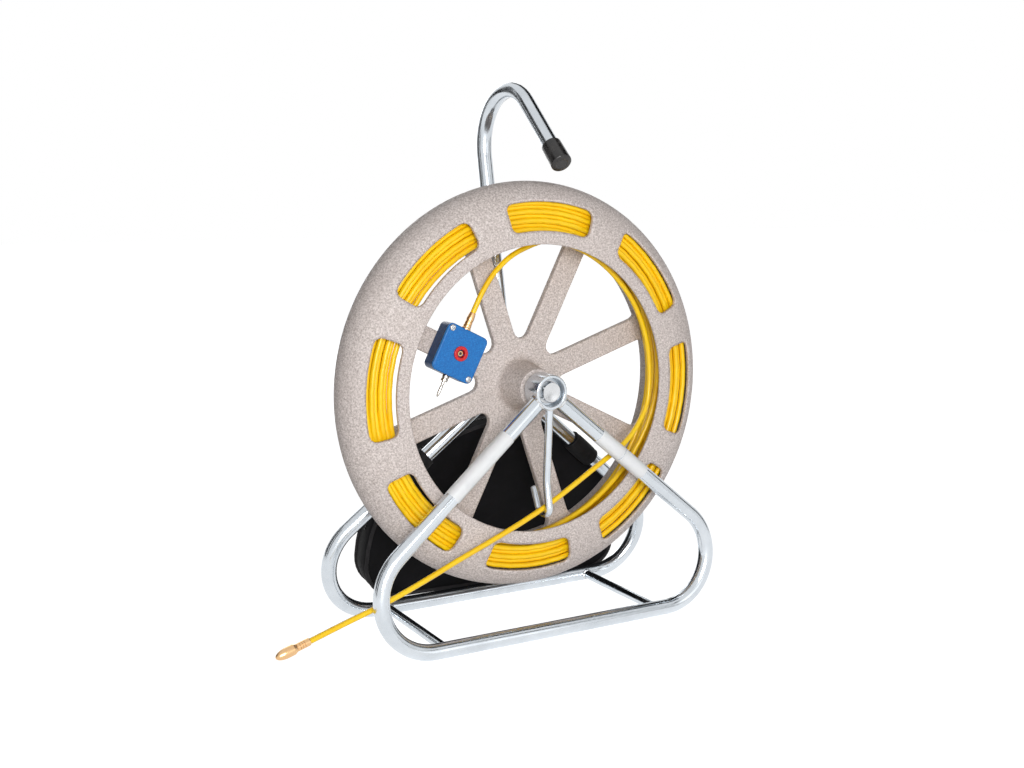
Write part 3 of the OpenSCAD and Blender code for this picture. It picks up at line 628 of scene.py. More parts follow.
def hex_part(name, node, side, land, dip):
    """A hex head or nut. Inside its outer face a land runs round a dip."""
    bottom = hex_out - dip
    levels = [(hex_chamfer, washer_out), (hex_flats, washer_out + hex_bevel),
              (hex_flats, hex_out - hex_bevel), (hex_chamfer, hex_out), (axle_r + land, hex_out),
              (axle_r, bottom), (0.01, bottom)]
    rings = [hex_ring(limit, side * out) for limit, out in levels]
    piece(name, skin(rings), "frame", steel, [node])


hex_part("bolt_head", "axle_bolt", -1, 2.0, 0.6)
hex_part("bolt_nut", "axle_nut", 1, 0.1, 1.5)
shank = lathe([(axle_r, -washer_out), (axle_r, hex_out - 1.0), (axle_r - 1.0, hex_out), (0, hex_out)])
piece("bolt_shank", shank, "frame", steel)


def washer(name, node, start, end):
    section = [(washer_in, start), (washer_r, start), (washer_r, end), (washer_in, end)]
    made = lathe(rounded(section, 0.4, closed=True), closed=True)
    piece(name, made, "frame", steel, [node])


washer("head_washer", "bolt_washer", -washer_out, -recess_end)
washer("nut_side_washer", "nut_washer", recess_end, washer_out)

# %% [markdown]
# ## Guide arm
# The arm is a solid bar from the front bush. It kinks forward and ends in a hook that opens upwards, and
# the free rod lies in that hook. Its end is rounded off so that it does not scratch the sheath. A bevelled
# curve has one thickness all along, so the bar is swept, and its last rings shrink to the rounded end.

# %% Guide arm
arm_y = front_apex + 2.0
arm_foot = arm_y - 6.0
arm_drop = 116.0
hook_depth = 158.0
hook_front = arm_y - 8.0
hook_back = hook_front + 27.0
hook_rise = 28.0
hook_lean = 14.0
arm_route = rounded([(arm_foot, -tube_start), (arm_y, -arm_drop), (hook_front, -hook_depth),
                     (hook_back, -hook_depth), (hook_back + hook_lean, hook_rise - hook_depth)],
                    [0, 40, 9, 9, 0], step=6.0)
arm_path = [Vector((0, *p)) for p in arm_route]
arm_sizes = [circle(arm_r, bar_sides) for _ in arm_path]
arm_end = arm_path[-1]
tip_dir = (arm_end - arm_path[-2]).normalized()
for k in range(1, 6):
    t = pi / 2 * k / 5
    arm_path.append(arm_end + tip_dir * (0.5 * arm_r * sin(t)))
    arm_sizes.append(circle(arm_r * max(cos(t), 0.02), bar_sides))
piece("guide_bar", sweep(arm_path, arm_sizes), "frame", zinc, ["guide_arm"])

# %% [markdown]
# ## Weld beads
# Where a tube meets a bush, a weld bead runs round it. Its line is where two cylinders cut each other, so
# each point is found by walking along the tube's side until it reaches the bush. A little noise in the
# bead's thickness gives the ripples that a welder leaves.

# %% Welds
def weld(foot, heading, radius, onto_radius, along=(0, 1, 0), axis_point=(0, 0, 0), thickness=1.8):
    """The rippled bead where a bar from foot along heading meets a round bar along the given axis."""
    axis_point = Vector(axis_point)
    heading = Vector(heading).normalized()
    along = Vector(along)
    side = heading.orthogonal().normalized()
    up = heading.cross(side)
    across = heading - along * heading.dot(along)
    line = []
    for a, b in circle(radius, 60):
        start = Vector(foot) - axis_point + side * a + up * b
        off = start - along * start.dot(along)
        half = off.dot(across) / across.length_squared
        room = half * half - (off.length_squared - onto_radius ** 2) / across.length_squared
        line.append(start + heading * (sqrt(max(room, 0.0)) - half) + axis_point)
    beads = []
    for i, p in enumerate(line):
        ripple = 1 + 0.16 * sin(i * 2.1) + 0.2 * noise.noise(p * 0.35)
        beads.append(circle(thickness * ripple, 8))
    return sweep(line, beads, closed=True)


bar_bead = 1.5
welds = []
for lay, rise in ((front_lay, front_rise), (rear_lay, rear_rise)):
    for side in (-1, 1):
        welds.append(weld(*leg_line(lay, rise, side), tube_r, bush_r))
welds.append(weld((0, handle_y, 0), (0, *rise_dir), tube_r, bush_r))
welds.append(weld((0, arm_foot, 0), (0, 0, -1), arm_r, bush_r, thickness=bar_bead))
for side in (-1, 1):
    for base, heading in ((front_base, 1), (rear_base, -1)):
        middle = (side * cross_x, base, floor_z + tube_r)
        welds.append(weld(middle, (0, heading, 0), cross_r, tube_r, (1, 0, 0), middle, bar_bead))
piece("weld_beads", join(*welds), "frame", steel)

# %% [markdown]
# ## Drum finish
# The drum is moulded in grey plastic with a fine grain. A picture of such plastic would repeat and show its
# seams, so the grain is a speckle about two millimetres wide, made by noise. It changes the colour and the
# relief. A slow noise keeps large faces from being even.

# %% Drum finish
def drum_finish():
    finish = Finish("grey_moulding", Specular_IOR_Level=0.35)
    speckle = finish.patches(2.2, 3.0, 0.8, 0.36, 0.64)
    body = finish.mix(finish.noise(60.0, 3.0, 0.5), (0.74, 0.67, 0.64), (0.82, 0.75, 0.72))
    finish.set(Base_Color=finish.mix(speckle, body, (0.38, 0.32, 0.295)), Roughness=0.42 + speckle * 0.25,
               Normal=finish.grain(1.5, 4.0, 0.7, 0.55, 0.9))
    return finish.material


grey = drum_finish()
print("finish:", grey.name)

# %% [markdown]
# ## Pierced sectors
# Both drum halves repeat eight times round the axle, and each eighth has one hole: a slot in the front face,
# a window between two spokes at the back. Cutting holes with booleans leaves ragged triangles that spoil
# soft edges. Instead, rays from the hole's middle meet the hole's outline and the sector's border, and the
# quads run between those two. Offsetting the outline gives the rounded edge of the hole.

# %% Outlines on rays
sectors = 8
eighth = 2 * pi / sectors
spoke_phase = radians(18.5)
slot_phase = spoke_phase - eighth / 2
EDGE_TURNS = [radians(15 * k) for k in range(7)]


def reach(shape, level, middle, heading, far):
    """How far along a ray a distance function reaches a level."""
    low = 0.0
    high = far
    for _ in range(48):
        mid = (low + high) / 2
        if shape(middle.x + heading.x * mid, heading.y * mid) < level:
            low = mid
        else:
            high = mid
    return low


def sector_shape(inner, outer):
    """Border of one eighth of a ring."""
    def shape(x, z):
        r = hypot(x, z)
        return max((abs(atan2(z, x)) - eighth / 2) * r, inner - r, r - outer)
    return shape


def round_box(a, b, corner):
    """Distance to a rounded corner, from the distances to its two sides."""
    return hypot(max(a + corner, 0), max(b + corner, 0)) + min(max(a, b) + corner, 0) - corner


def near_turn(angle):
    """The same direction, between minus and plus half a turn."""
    return (angle + pi) % (2 * pi) - pi


def sector_rays(middle_r, inner, outer, rays=120):
    """Headings from the hole's middle, with the border's corners among them."""
    turns = full_turn(rays)
    for r in (inner, outer):
        for side in (-1, 1):
            corner = atan2(side * r * sin(eighth / 2), r * cos(eighth / 2) - middle_r)
            corner %= 2 * pi
            away = [abs(near_turn(t - corner)) for t in turns]
            turns[away.index(min(away))] = corner
    return [Vector((cos(t), sin(t))) for t in turns]


print("eight sectors of", round(degrees(eighth)), "degrees")


# %% Rings with eight holes
def pierced_ring(hole, middle_r, inner, outer, front, back, edge):
    """A ring with eight holes, rounded at the holes' edges. Also gives the angles of its border points.

    front and back give the depth of the two faces at a radius."""
    middle = Vector((middle_r, 0))
    headings = sector_rays(middle_r, inner, outer)
    far = 2 * outer
    border = [reach(sector_shape(inner, outer), 0.0, middle, heading, far) for heading in headings]

    def ring(ends, face, sink=0.0):
        spots = [(middle.x + heading.x * end, heading.y * end) for heading, end in zip(headings, ends)]
        return [Vector((x, face(hypot(x, z)) + sink, z)) for x, z in spots]

    levels = [(-edge * sin(t), front, edge * (1 - cos(t))) for t in EDGE_TURNS]
    levels += [(-edge * cos(t), back, -edge * (1 - sin(t))) for t in EDGE_TURNS]
    rings = []
    for level, face, sink in levels:
        ends = [reach(hole, level, middle, heading, far) for heading in headings]
        rings.append(ring(ends, face, sink))
        if sink == 0:
            spread = [[a + (b - a) * share for a, b in zip(ends, border)] for share in (0.25, 0.5, 0.75, 1.0)]
            more = [ring(row, face) for row in spread]
            rings = more[::-1] + rings if face is front else rings + more
    angles = {}
    for name, r in (("inner", inner), ("outer", outer)):
        on_border = [(x, z) for x, _, z in rings[0] if abs(hypot(x, z) - r) < 0.01]
        angles[name] = sorted({round(atan2(z, x), 6) for x, z in on_border})
    return skin(rings), angles


def strip(profile, angles):
    """Part of a turned shell over one eighth, at the given angles."""
    return skin([[(r * cos(t), y, r * sin(t)) for t in angles] for r, y in profile], around=False)


def round_about(made, phase):
    """Eight copies of one eighth, turned about the axle."""
    copies = []
    for k in range(sectors):
        c, s = cos(phase + k * eighth), sin(phase + k * eighth)
        copies.append(([(x * c - z * s, y, x * s + z * c) for x, y, z in made[0]], made[1]))
    return join(*copies)


print("sector helpers ready")

# %% [markdown]
# ## Front half of the drum
# The face carries eight slots through which the wound rod shows. Outside them the shell rolls over into the
# rim, and inside it ends at the round mouth. The slots use the sector helper. Rim and mouth are strips of a
# turned shell whose points meet the sector's, so the three join without a gap.

# %% Slots and rim
wall = 4.5
rim_round = 60.0
face_r = drum_r - rim_round
mouth_r = 182.0
slot_in = mouth_r + 12.5
slot_out = drum_r - 21.2
slot_half = radians(17.0)
slot_corner = 14.0
slot_edge = 4.2
lip = 2.0
border_r = drum_r - 16.0
inner_depth = half_depth - wall
slot_mid = (slot_in + slot_out) / 2


def slot_shape(x, z):
    r = hypot(x, z)
    across = (abs(atan2(z, x)) - slot_half) * r
    return round_box(across, abs(r - slot_mid) - (slot_out - slot_in) / 2, slot_corner)


def face_depth(r, bulge, depth):
    """How far a shell's surface lies from the drum's middle at a radius."""
    return depth * sqrt(max(0.0, 1 - max(0.0, (r - face_r) / bulge) ** 2))


def rim_line(start_r, end_r, bulge, depth, side, steps=16):
    """Points of the rolled rim's section between two radii, on the front (-1) or the back (1)."""
    start = acos(min(1.0, (start_r - face_r) / bulge))
    end = acos(min(1.0, (end_r - face_r) / bulge))
    turns = [start + (end - start) * k / steps for k in range(steps + 1)]
    return [(face_r + bulge * cos(t), side * depth * sin(t)) for t in turns]


print(f"slots {slot_out - slot_in:.0f} mm wide, over {degrees(2 * slot_half):.0f} degrees")

# %% Drum front
bulge_in = rim_round - wall
seam = 0.35
edge_in = 0.02
face, border = pierced_ring(slot_shape, slot_mid, mouth_r + lip, border_r,
                            lambda r: -face_depth(r, rim_round, half_depth),
                            lambda r: -face_depth(r, bulge_in, inner_depth), slot_edge)
rim_profile = rim_line(border_r, drum_r - edge_in, rim_round, half_depth, -1)
rim_profile += [(drum_r - seam, -seam / 2), (drum_r - wall, -seam / 2)]
rim_profile += rim_line(drum_r - wall - edge_in, border_r, bulge_in, inner_depth, -1)
mouth_profile = rounded([(mouth_r + lip, -half_depth), (mouth_r, -half_depth), (mouth_r, -inner_depth),
                         (mouth_r + lip, -inner_depth)], lip)
front_half = join(face, strip(rim_profile, border["outer"]), strip(mouth_profile, border["inner"]))
front_shell = round_about(front_half, slot_phase)
piece("drum_front_shell", front_shell, "drum", grey, ["drum_front"], level=True)

# %% [markdown]
# ## Back half of the drum
# Eight flat spokes join the hub to a hoop, and the hoop carries the rear face and the rim. The spokes could
# be bars pushed into the hub, but a moulded wheel has no joints there. So the windows between the spokes are
# the holes of the sector helper, with a round inner end, and the spokes are what is left.

# %% Drum back
spoke_front = 18.0
spoke_back = 29.0
spoke_half = 15.5
window_corner = 11.7
window_top = 14.0
window_mid = 140.0
window_r = 204.0
window_at = (window_corner + spoke_half) / sin(eighth / 2)
hoop_in = window_r + 1.5
hoop_out = window_r + 6.0
hub_r = 41.0
hub_end = 30.0
hub_bore = 12.0
fillet_r = 10.0
boss_tip = 25.0
spoke_edge = 2.5


def window_shape(x, z):
    along = Vector((cos(eighth / 2), sin(eighth / 2)))
    px, pz = x - window_at, abs(z)
    off = pz * along.x - px * along.y
    core = off if off <= 0 or px * along.x + pz * along.y > 0 else hypot(px, pz)
    return round_box(core - window_corner, hypot(x, z) - window_r, window_top) - spoke_edge


wheel, wheel_border = pierced_ring(window_shape, window_mid, hub_r, hoop_in + 1.0,
                                   lambda r: spoke_front, lambda r: spoke_back, spoke_edge)
boss_r = hub_r - fillet_r
boss_foot = spoke_front - fillet_r
fillet_turns = [radians(90 - 9 * k) for k in range(11)]
fillet = [(boss_r + fillet_r * (1 - cos(t)), boss_foot + fillet_r * sin(t)) for t in fillet_turns]
boss = rounded([(boss_r, boss_foot), (boss_tip, 2 - hub_end), (boss_tip, -hub_end), (hub_bore, -hub_end),
                (hub_bore, hub_end), (hub_r, hub_end), (hub_r, spoke_back)], [0, 4, 2, 0.6, 0.6, 0.8, 0])
hub_skin = strip(fillet + boss[1:], wheel_border["inner"])
spokes = round_about(join(wheel, hub_skin), spoke_phase + eighth / 2)
piece("spoke_wheel", spokes, "drum", grey, ["drum_back"], level=True)

rear_edge = [Vector(p) for p in rim_line(hoop_in, drum_r - edge_in, rim_round, half_depth, 1)]
hoop_front = spoke_front - 0.5
rear_profile = rounded([(hoop_out, inner_depth - 2), (hoop_out, hoop_front), (hoop_in, hoop_front),
                        rear_edge[0], rear_edge[1]], [0, 1, 1, 3, 0])
rear_profile += rear_edge[2:] + [(drum_r - seam, seam / 2), (drum_r - wall, seam / 2)]
rear_profile += rim_line(drum_r - wall - edge_in, hoop_out, bulge_in, inner_depth, 1)
piece("drum_back_rim", lathe(rear_profile, sides=288, closed=True), "drum", grey)

# %% [markdown]
# ## Wound rod
# Inside the drum the rod lies in layers: each layer spirals out, the next one back in, and it is pressed
# outwards by its own stiffness. Every second turn sinks between its neighbours. A ring of stacked circles
# would look machine-made. So the route is worked out by a loop, with a slow drift from turn to turn, and a
# few inner turns hang loose at the lower right. It starts at the brass ferrule on the box.

# %% Coil
layer_in = 199.5
layer_out = 233.5
layers = 4
turns_per_layer = 6
coil_front = -24.0
layer_step = 11.5
stagger = 4.6
cross_at = slot_phase + eighth / 2 + pi
cross_share = 0.033
points_per_turn = 60
SLACK = (4.0, 12.0, 19.0, 8.0)
SLACK_AT = (-0.5, -0.7, -1.0, -0.95)
slack_width = 0.75
slack_turns = 1.2
coil_start = radians(69.0)


def behind(turn):
    """How much deeper a turn lies: every second one, with the crossing behind a web of the front face."""
    passes = turn - (coil_start - cross_at) / (2 * pi)
    step = min(1.0, passes % 1 / cross_share)
    return stagger * (step if floor(passes) % 2 else 1 - step)


def coil_spot(turn):
    """Where the rod lies after so many turns, counted from its inner end."""
    layer = min(int(turn / turns_per_layer), layers - 1)
    share = turn / turns_per_layer - layer
    outward = share if layer % 2 == 0 else 1 - share
    angle = coil_start - 2 * pi * turn
    c, s = cos(angle), sin(angle)
    r = layer_in + (layer_out - layer_in) * outward + 0.5 * noise.noise(Vector((3 * c, 3 * s, 0.9 * turn)))
    inner = max(0.0, 1 - outward * turns_per_layer / slack_turns)
    loose = exp(-(near_turn(angle - SLACK_AT[layer]) / slack_width) ** 2)
    r -= loose * inner * SLACK[layer]
    climb = min(1.0, 2 * max(0.0, share * turns_per_layer - turns_per_layer + 0.5))
    to_go = max(0.0, layers - 1 - layer - climb)
    y = coil_front + layer_step * to_go + behind(turn)
    y += 0.9 * noise.noise(Vector((2 * c, 2 * s, 5 + turn)))
    return Vector((r * c, y, r * s))


wound = [coil_spot(k / points_per_turn) for k in range(layers * turns_per_layer * points_per_turn)]
print(f"wound rod: {layers * turns_per_layer} turns, {len(wound)} points")

# %% Rod from the box to the coil
box_angle = spoke_phase + 3 * eighth
box_r = 108.0
box_w = 60.0
box_h = 62.0
entry_z = -6.0
ferrule_len = 15.0
ferrule_grip = 8.0


def on_spoke(x, y, z):
    """A point measured on the box: along the spoke, across it, and out of its front."""
    c, s = cos(box_angle), sin(box_angle)
    return Vector(((box_r + x) * c - y * s, -z, (box_r + x) * s + y * c))


box_middle = on_spoke(0, 0, 0)
rod_side = on_spoke(0, -1, 0) - box_middle
link_foot = on_spoke(0, -(box_h / 2 + ferrule_len), entry_z)
LINK_ROUTE = [(-60, 6.5, 120), (-46, 7, 140), (-31, 8, 155), (-14, 9, 167), (5, 10, 175.5), (25, 11, 182),
              (47, 12, 186.5)]
link = smooth_route([link_foot, link_foot + rod_side * rod_d, *LINK_ROUTE, wound[0], wound[2]])
coil = rod_curve("wound_rod", link + wound[3:])
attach(coil, "drum")
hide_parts("rod_coil", "coil_core")
print(f"link: {len(link)} points from the ferrule to the coil")

# %% [markdown]
# ## Junction box
# The rod's inner end goes into a small box in blue hammer paint. Hammer paint dries into little dimples, so
# cells of a Voronoi texture give the relief. A cube with a bevel would do for the shape, but the box and its
# lid are lofts of one rounded outline, so that every edge can have its own radius. The body wears a much
# darker copy of the lid's blue: painted shade for its sides, which lie in shadow.

# %% Box finish
def hammer_finish(name, light, mid, dark):
    finish = Finish(name, Specular_IOR_Level=0.2, Coat_Roughness=0.15)
    dimples = {"Vector": finish.place(), "Scale": 380.0}
    cells = finish.node("ShaderNodeTexVoronoi", {"feature": "SMOOTH_F1"}, dimples)
    flecks = finish.patches(1.3, 3.0, 0.7, 0.4, 0.7)
    body = finish.mix(flecks, mid, light)
    finish.set(Base_Color=finish.mix(cells * 0.5, body, dark), Roughness=0.28 + flecks * 0.2,
               Coat_Weight=0.12 - flecks * 0.08, Normal=finish.bump(cells, 0.5, 0.5))
    return finish.material


blue = hammer_finish("hammer_blue", (0.032, 0.25, 0.64), (0.014, 0.155, 0.47), (0.018, 0.08, 0.30))
# The body's blue is the lid's paint darkened: painted shade for the box's shadowed sides, not a second paint.
shade_painted_blue = hammer_finish("hammer_blue_painted_shade", (0.012, 0.07, 0.22), (0.006, 0.04, 0.14), (0.005, 0.02, 0.08))
print("finishes:", blue.name, shade_painted_blue.name)

# %% Box body and lid
box_corner = 7.0
body_back = -spoke_front
lid_front = 7.0
lid_back = lid_front - 4.2
lid_bore = 6.6
gasket_back = lid_back - 0.8


def plate_ring(inset, depth):
    """The box's rounded outline, drawn in by inset, at a depth in front of the drum's middle."""
    w, h = box_w / 2 - inset, box_h / 2 - inset
    flat = rounded([(w, h), (-w, h), (-w, -h), (w, -h)], max(box_corner - inset, 1.0), closed=True, step=9.0)
    return [on_spoke(p.x, p.y, depth) for p in flat]


def soft_edge(depth, radius, towards):
    """Rings of a rounded edge: towards is 1 where the face looks to the front, and -1 to the back."""
    levels = [(radius * (1 - cos(t)), depth - towards * radius * (1 - sin(t))) for t in EDGE_TURNS]
    return [plate_ring(*level) for level in levels[::towards]]


def lid_hole(depth):
    """A circle in the lid with as many points as its outline."""
    return [on_spoke(0, 0, depth) + (p - box_middle).normalized() * lid_bore for p in plate_ring(0, 0)]


box_rings = soft_edge(body_back, 1.5, -1) + soft_edge(gasket_back, 0.6, 1)
box_skin = skin(box_rings, caps=(True, True))
# The body takes the darkened blue, which paints the shade on its sides.
piece("box_shell", box_skin, "drum", shade_painted_blue, ["box_body"], level=True)
lid_rings = soft_edge(lid_back, 0.6, -1) + soft_edge(lid_front, 2.2, 1)
lid_skin = skin([lid_hole(lid_back), *lid_rings, lid_hole(lid_front)], along=True)
piece("box_cover", lid_skin, "drum", blue, ["box_lid"], level=True)

# %% [markdown]
# ## Socket, pin and ferrule
# The lid carries a red insulated socket, one side of the box a bare nickel pin, and the other a brass
# ferrule that grips the rod. All of them come off a lathe, so each is one profile turned about its axis,
# which shows every groove. The profiles on the box's sides are measured from its wall.

# %% Small finishes
GLOSS = {"dulling": 0.2, "patch": (6.0, 4.0, 0.6, 0.4, 0.75), "grain": (1.0, 2.0, 0.5, 0.04, 0.4)}
red = worn_finish("red_plastic", (0.62, 0.012, 0.016), (0.48, 0.010, 0.012), 0.25, **GLOSS)
ivory = worn_finish("bearing_plastic", (0.78, 0.76, 0.70), (0.68, 0.66, 0.60), 0.4, **GLOSS)
cover = worn_finish("wire_cover", (0.50, 0.02, 0.02), (0.40, 0.02, 0.02), 0.4, **GLOSS)
brass = metal_finish("turned_brass", (0.80, 0.52, 0.27), (0.62, 0.36, 0.17), 0.22, 0.15)
nickel = metal_finish("nickel_plate", (0.60, 0.57, 0.53), (0.44, 0.42, 0.39), 0.20, 0.12)
print("small finishes ready")

# %% Turned parts on the box
out_of_lid = on_spoke(0, 0, 1) - box_middle
flange = lid_front + 2.5
socket_profile = rounded([(6.5, entry_z), (6.5, lid_front), (9.5, lid_front), (9.5, flange), (5.25, flange),
                          (5.25, 0.5), (3.35, 0.5), (3.35, entry_z)], [0, 0, 0.5, 1.1, 0.6, 0.3, 0, 0])
socket = lathe(socket_profile, box_middle, out_of_lid, closed=True)
piece("socket_ring", socket, "drum", red, ["socket_shell"])


def side_part(name, node, side, profile, soft, finish, sides=72):
    foot = on_spoke(0, 0, entry_z) + side * (box_h / 2)
    made = lathe(rounded(profile, soft), foot, side, sides)
    piece(name, made, "drum", finish, [node])


ferrule_end = ferrule_len + ferrule_grip
FERRULE = [(0, -4), (4, -4), (4, 0), (5.9, 0), (5.9, 2.2), (5.1, 3.0), (5.1, 6), (4.75, 7), (4.75, 10.6),
           (4.35, 11), (4.35, 12), (4.75, 12.4), (4.75, 16), (3.9, ferrule_end), (3.5, ferrule_end)]
COLLAR = [(0, -4), (3, -4), (3, 0), (4.5, 0), (4.5, 3.4), (3.9, 3.8), (3.9, 4.4), (4.5, 4.8), (4.5, 8),
          (1.6, 8)]
PIN = [(1.6, 7), (1.6, 8), (2, 8), (2, 12), (1.5, 12.5), (1.5, 13.5), (2, 15), (2, 23), (1.6, 26.5),
       (0.8, 29), (0, 29)]
side_part("rod_ferrule_turned", "rod_ferrule", rod_side, FERRULE, 0.5, brass)
side_part("pin_collar_turned", "pin_collar", -rod_side, COLLAR, 0.5, nickel)
side_part("bare_pin", "contact_pin", -rod_side, PIN, 0.6, nickel, sides=32)

# %% Lid screws
PAN_HEAD = ((4.2, -0.2), (4.0, 0.9), (3.4, 1.6), (2.9, 1.8), (2.3, 1.95), (1.6, 2.0), (0.9, 2.0), (0.3, 2.0))
recess_half = 0.5
recess_depth = 1.1
recess_reach = 2.5


def lid_screw(x, y):
    """A pan head with a cross recess, made as a dome whose middle is pressed in along two lines."""
    rings = []
    for r, h in PAN_HEAD:
        ring = []
        for a, b in circle(r, 48):
            dip = recess_depth if min(abs(a), abs(b)) < recess_half and r < recess_reach else 0.0
            ring.append(on_spoke(x + a, y + b, lid_front + h - dip))
        rings.append(ring)
    return skin(rings, caps=(False, True))


screw_x = box_w / 2 - 6.0
screw_y = box_h / 2 - 6.0
screws = join(lid_screw(screw_x, -screw_y), lid_screw(-screw_x, screw_y))
piece("lid_screw_heads", screws, "drum", steel, ["lid_screws"], sharp=50)

# %% [markdown]
# ## Brass end of the rod
# A grooved sleeve is crimped on the rod's end and carries a rounded nose that leads the rod round bends.
# Both come off a lathe, so both are profiles turned about the rod's last direction. They go with the cord.

# %% Rod end
tip = Vector(FREE_ROUTE[-1])
tip_way = (tip - Vector(FREE_ROUTE[-2])).normalized()
sleeve_r = 4.75
groove_r = sleeve_r - 0.6
sleeve_end = 9
sleeve_profile = [(3.5, -8), (4.2, -8), (sleeve_r, -7.3)]
for at in (-1, 2, 5):
    sleeve_profile += [(sleeve_r, at), (groove_r, at + 0.25), (groove_r, at + 0.75), (sleeve_r, at + 1)]
sleeve_profile += [(sleeve_r, sleeve_end - 0.4), (sleeve_r - 0.4, sleeve_end), (0, sleeve_end)]
sleeve = piece("crimped_sleeve", lathe(sleeve_profile, tip, tip_way), "frame", brass, ["rod_sleeve"])
nose_r = 6.5
dome_at = 21
dome_len = 15
dome_turns = [radians(9 * k) for k in range(1, 11)]
nose_foot = [(0, sleeve_end), (4.6, sleeve_end), (nose_r, 13), (nose_r, dome_at)]
nose_profile = rounded(nose_foot, [0, 0.5, 1.2, 0])
nose_profile += [(nose_r * cos(t), dome_at + dome_len * sin(t)) for t in dome_turns]
nose = piece("rounded_nose", lathe(nose_profile, tip, tip_way), "frame", brass, ["rod_nose"])
place(FREE_ROUTE[0])

# %% [markdown]
# ## Blank labels
# White film labels are wrapped round the front legs. They stay blank. A colour on the tube would have no
# edge, so each label is a thin turned skin over the tube. The film has a faint texture and gathers dirt.

# %% Labels
film = worn_finish("label_film", (0.78, 0.79, 0.80), (0.68, 0.69, 0.71), 0.32, dulling=0.2, specular=0.4,
                   patch=(22.0, 5.0, 0.6, 0.5, 0.8), grain=(11.0, 2.0, 0.5, 0.12, 0.4))
film_in = tube_r - 0.5
film_out = tube_r + 0.4


def label(name, node, side, starts, length):
    skins = []
    for start in starts:
        end = start + length
        section = rounded([(film_in, start), (film_out, start), (film_out, end), (film_in, end)], 0.15)
        skins.append(lathe(section, *leg_line(front_lay, front_rise, side), sides=48))
    piece(name, join(*skins), "frame", film, [node])


label("left_leg_label", "left_label", -1, [79.0], 104.0)
label("right_leg_labels", "right_labels", 1, [95.0, 138.0], 42.0)

# %% [markdown]
# ## Storage bag
# A black nylon bag hangs behind the rear legs. A cloth simulation could drape it, but it would have to run
# each time. A loft is steady: the panels swell out from their seams, the bottom sags, and shallow folds run
# down from the top. Piping covers both seams, and a zip runs between them.

# %% Cloth finish
def cloth_finish(name, light, dark, thread):
    finish = Finish(name, Specular_IOR_Level=0.08, Sheen_Weight=0.03, Sheen_Roughness=0.5)
    weave = {"Vector": finish.place(), "Scale": 1 / (thread * MM)}
    warp = finish.node("ShaderNodeTexWave", {"bands_direction": "X"}, weave)
    weft = finish.node("ShaderNodeTexWave", {"bands_direction": "Z"}, weave)
    lint = finish.patches(24.0, 5.0, 0.65, 0.45, 0.85)
    finish.set(Base_Color=finish.mix(lint + warp * weft * 0.3, dark, light), Roughness=0.62 + lint * 0.2,
               Normal=finish.bump(warp + weft, 0.15, 0.5))
    return finish.material


nylon = cloth_finish("black_nylon", (0.011, 0.010, 0.012), (0.004, 0.004, 0.0045), 2.6)
braid = cloth_finish("black_braid", (0.05, 0.048, 0.05), (0.022, 0.021, 0.022), 3.4)
webbing = cloth_finish("black_webbing", (0.030, 0.029, 0.030), (0.010, 0.010, 0.011), 3.4)
print("cloth finishes ready")

# %% Bag outline
bag_half = 193.0
bag_side = 12.0
bag_top = 63.0
bag_waist = 245.0
bag_corner = 50.0
bag_corner_right = 34.0
bag_sag = 8.0
bag_near = 13.6
bag_far = 49.6
bag_floor = -bag_waist - bag_corner - bag_sag
bag_middle = Vector((bag_side, -190))


def bag_outline(steps=28):
    """Across and up along the legs: a round top over two bottom corners, of which the right one sags."""
    top = [pi * k / steps for k in range(steps + 1)]
    left = bag_side - bag_half
    right = bag_side + bag_half
    arch = bag_waist - bag_top
    line = [(bag_side + bag_half * cos(t), -bag_waist + arch * sin(t)) for t in top]
    low = [(left, -bag_waist), (left, bag_floor + bag_sag), (right, bag_floor), (right, -bag_waist)]
    corners = rounded(low, [0, bag_corner, bag_corner_right, 0], step=10.0)
    left_end = max(k for k, p in enumerate(corners) if p.x < 0)
    a, b = corners[left_end], corners[left_end + 1]
    bottom = [a.lerp(b, k / 12) for k in range(1, 12)]
    return line + [tuple(p) for p in corners[1:left_end + 1] + bottom + corners[left_end + 1:-1]]


outline = [Vector(p) for p in bag_outline()]
print(f"bag outline: {len(outline)} points")


# %% Bag shell
def bag_point(edge, share, front):
    """A point of a panel: share is 0 in its middle and 1 on its seam."""
    spot = bag_middle + (edge - bag_middle) * share
    swell = 1 - share ** 2.4
    low = max(0.0, (-spot.y - 130) / 165)
    fold = noise.fractal(Vector((spot.x * 0.018, spot.y * 0.006, 3 if front else 9)), 0.8, 2.0, 4)
    out = swell * (3.5 + 3.0 * low) + swell ** 0.5 * 2.2 * fold
    depth = bag_near - min(out, 7.0) if front else bag_far + out - 1.0
    return rear_lay(spot.x, spot.y, depth)


shares = [0.02, 0.12, 0.22, 0.32, 0.42, 0.52, 0.62, 0.72, 0.81, 0.88, 0.94, 0.98, 1.0]
bag_rings = [[bag_point(p, s, True) for p in outline] for s in shares]
for step in (0.2, 0.4, 0.6, 0.8):
    depth = bag_near + (bag_far - bag_near) * step
    ring = []
    for i, p in enumerate(outline):
        slack = 1 + 0.012 * sin(pi * step) + 0.006 * noise.noise(Vector((i * 0.22, step * 2, 0)))
        spot = bag_middle + (p - bag_middle) * slack
        ring.append(rear_lay(spot.x, max(spot.y, bag_floor), depth))
    bag_rings.append(ring)
bag_rings += [[bag_point(p, s, False) for p in outline] for s in shares[::-1]]
bag_skin = skin(bag_rings, caps=(True, True))
bag = piece("nylon_bag", bag_skin, "frame", nylon, ["storage_bag"], sharp=80)

# %% Piping and zip
piping_r = 2.6
tooth_r = 0.9
tooth_half = 1.6
zip_out = 1.016
zip_depth = (bag_near + bag_far) / 2
pipings = []
for depth in (bag_near, bag_far):
    pipings.append(sweep([rear_lay(*p, depth) for p in outline], circle(piping_r, 10), closed=True))
piece("bag_piping", join(*pipings), "frame", braid)

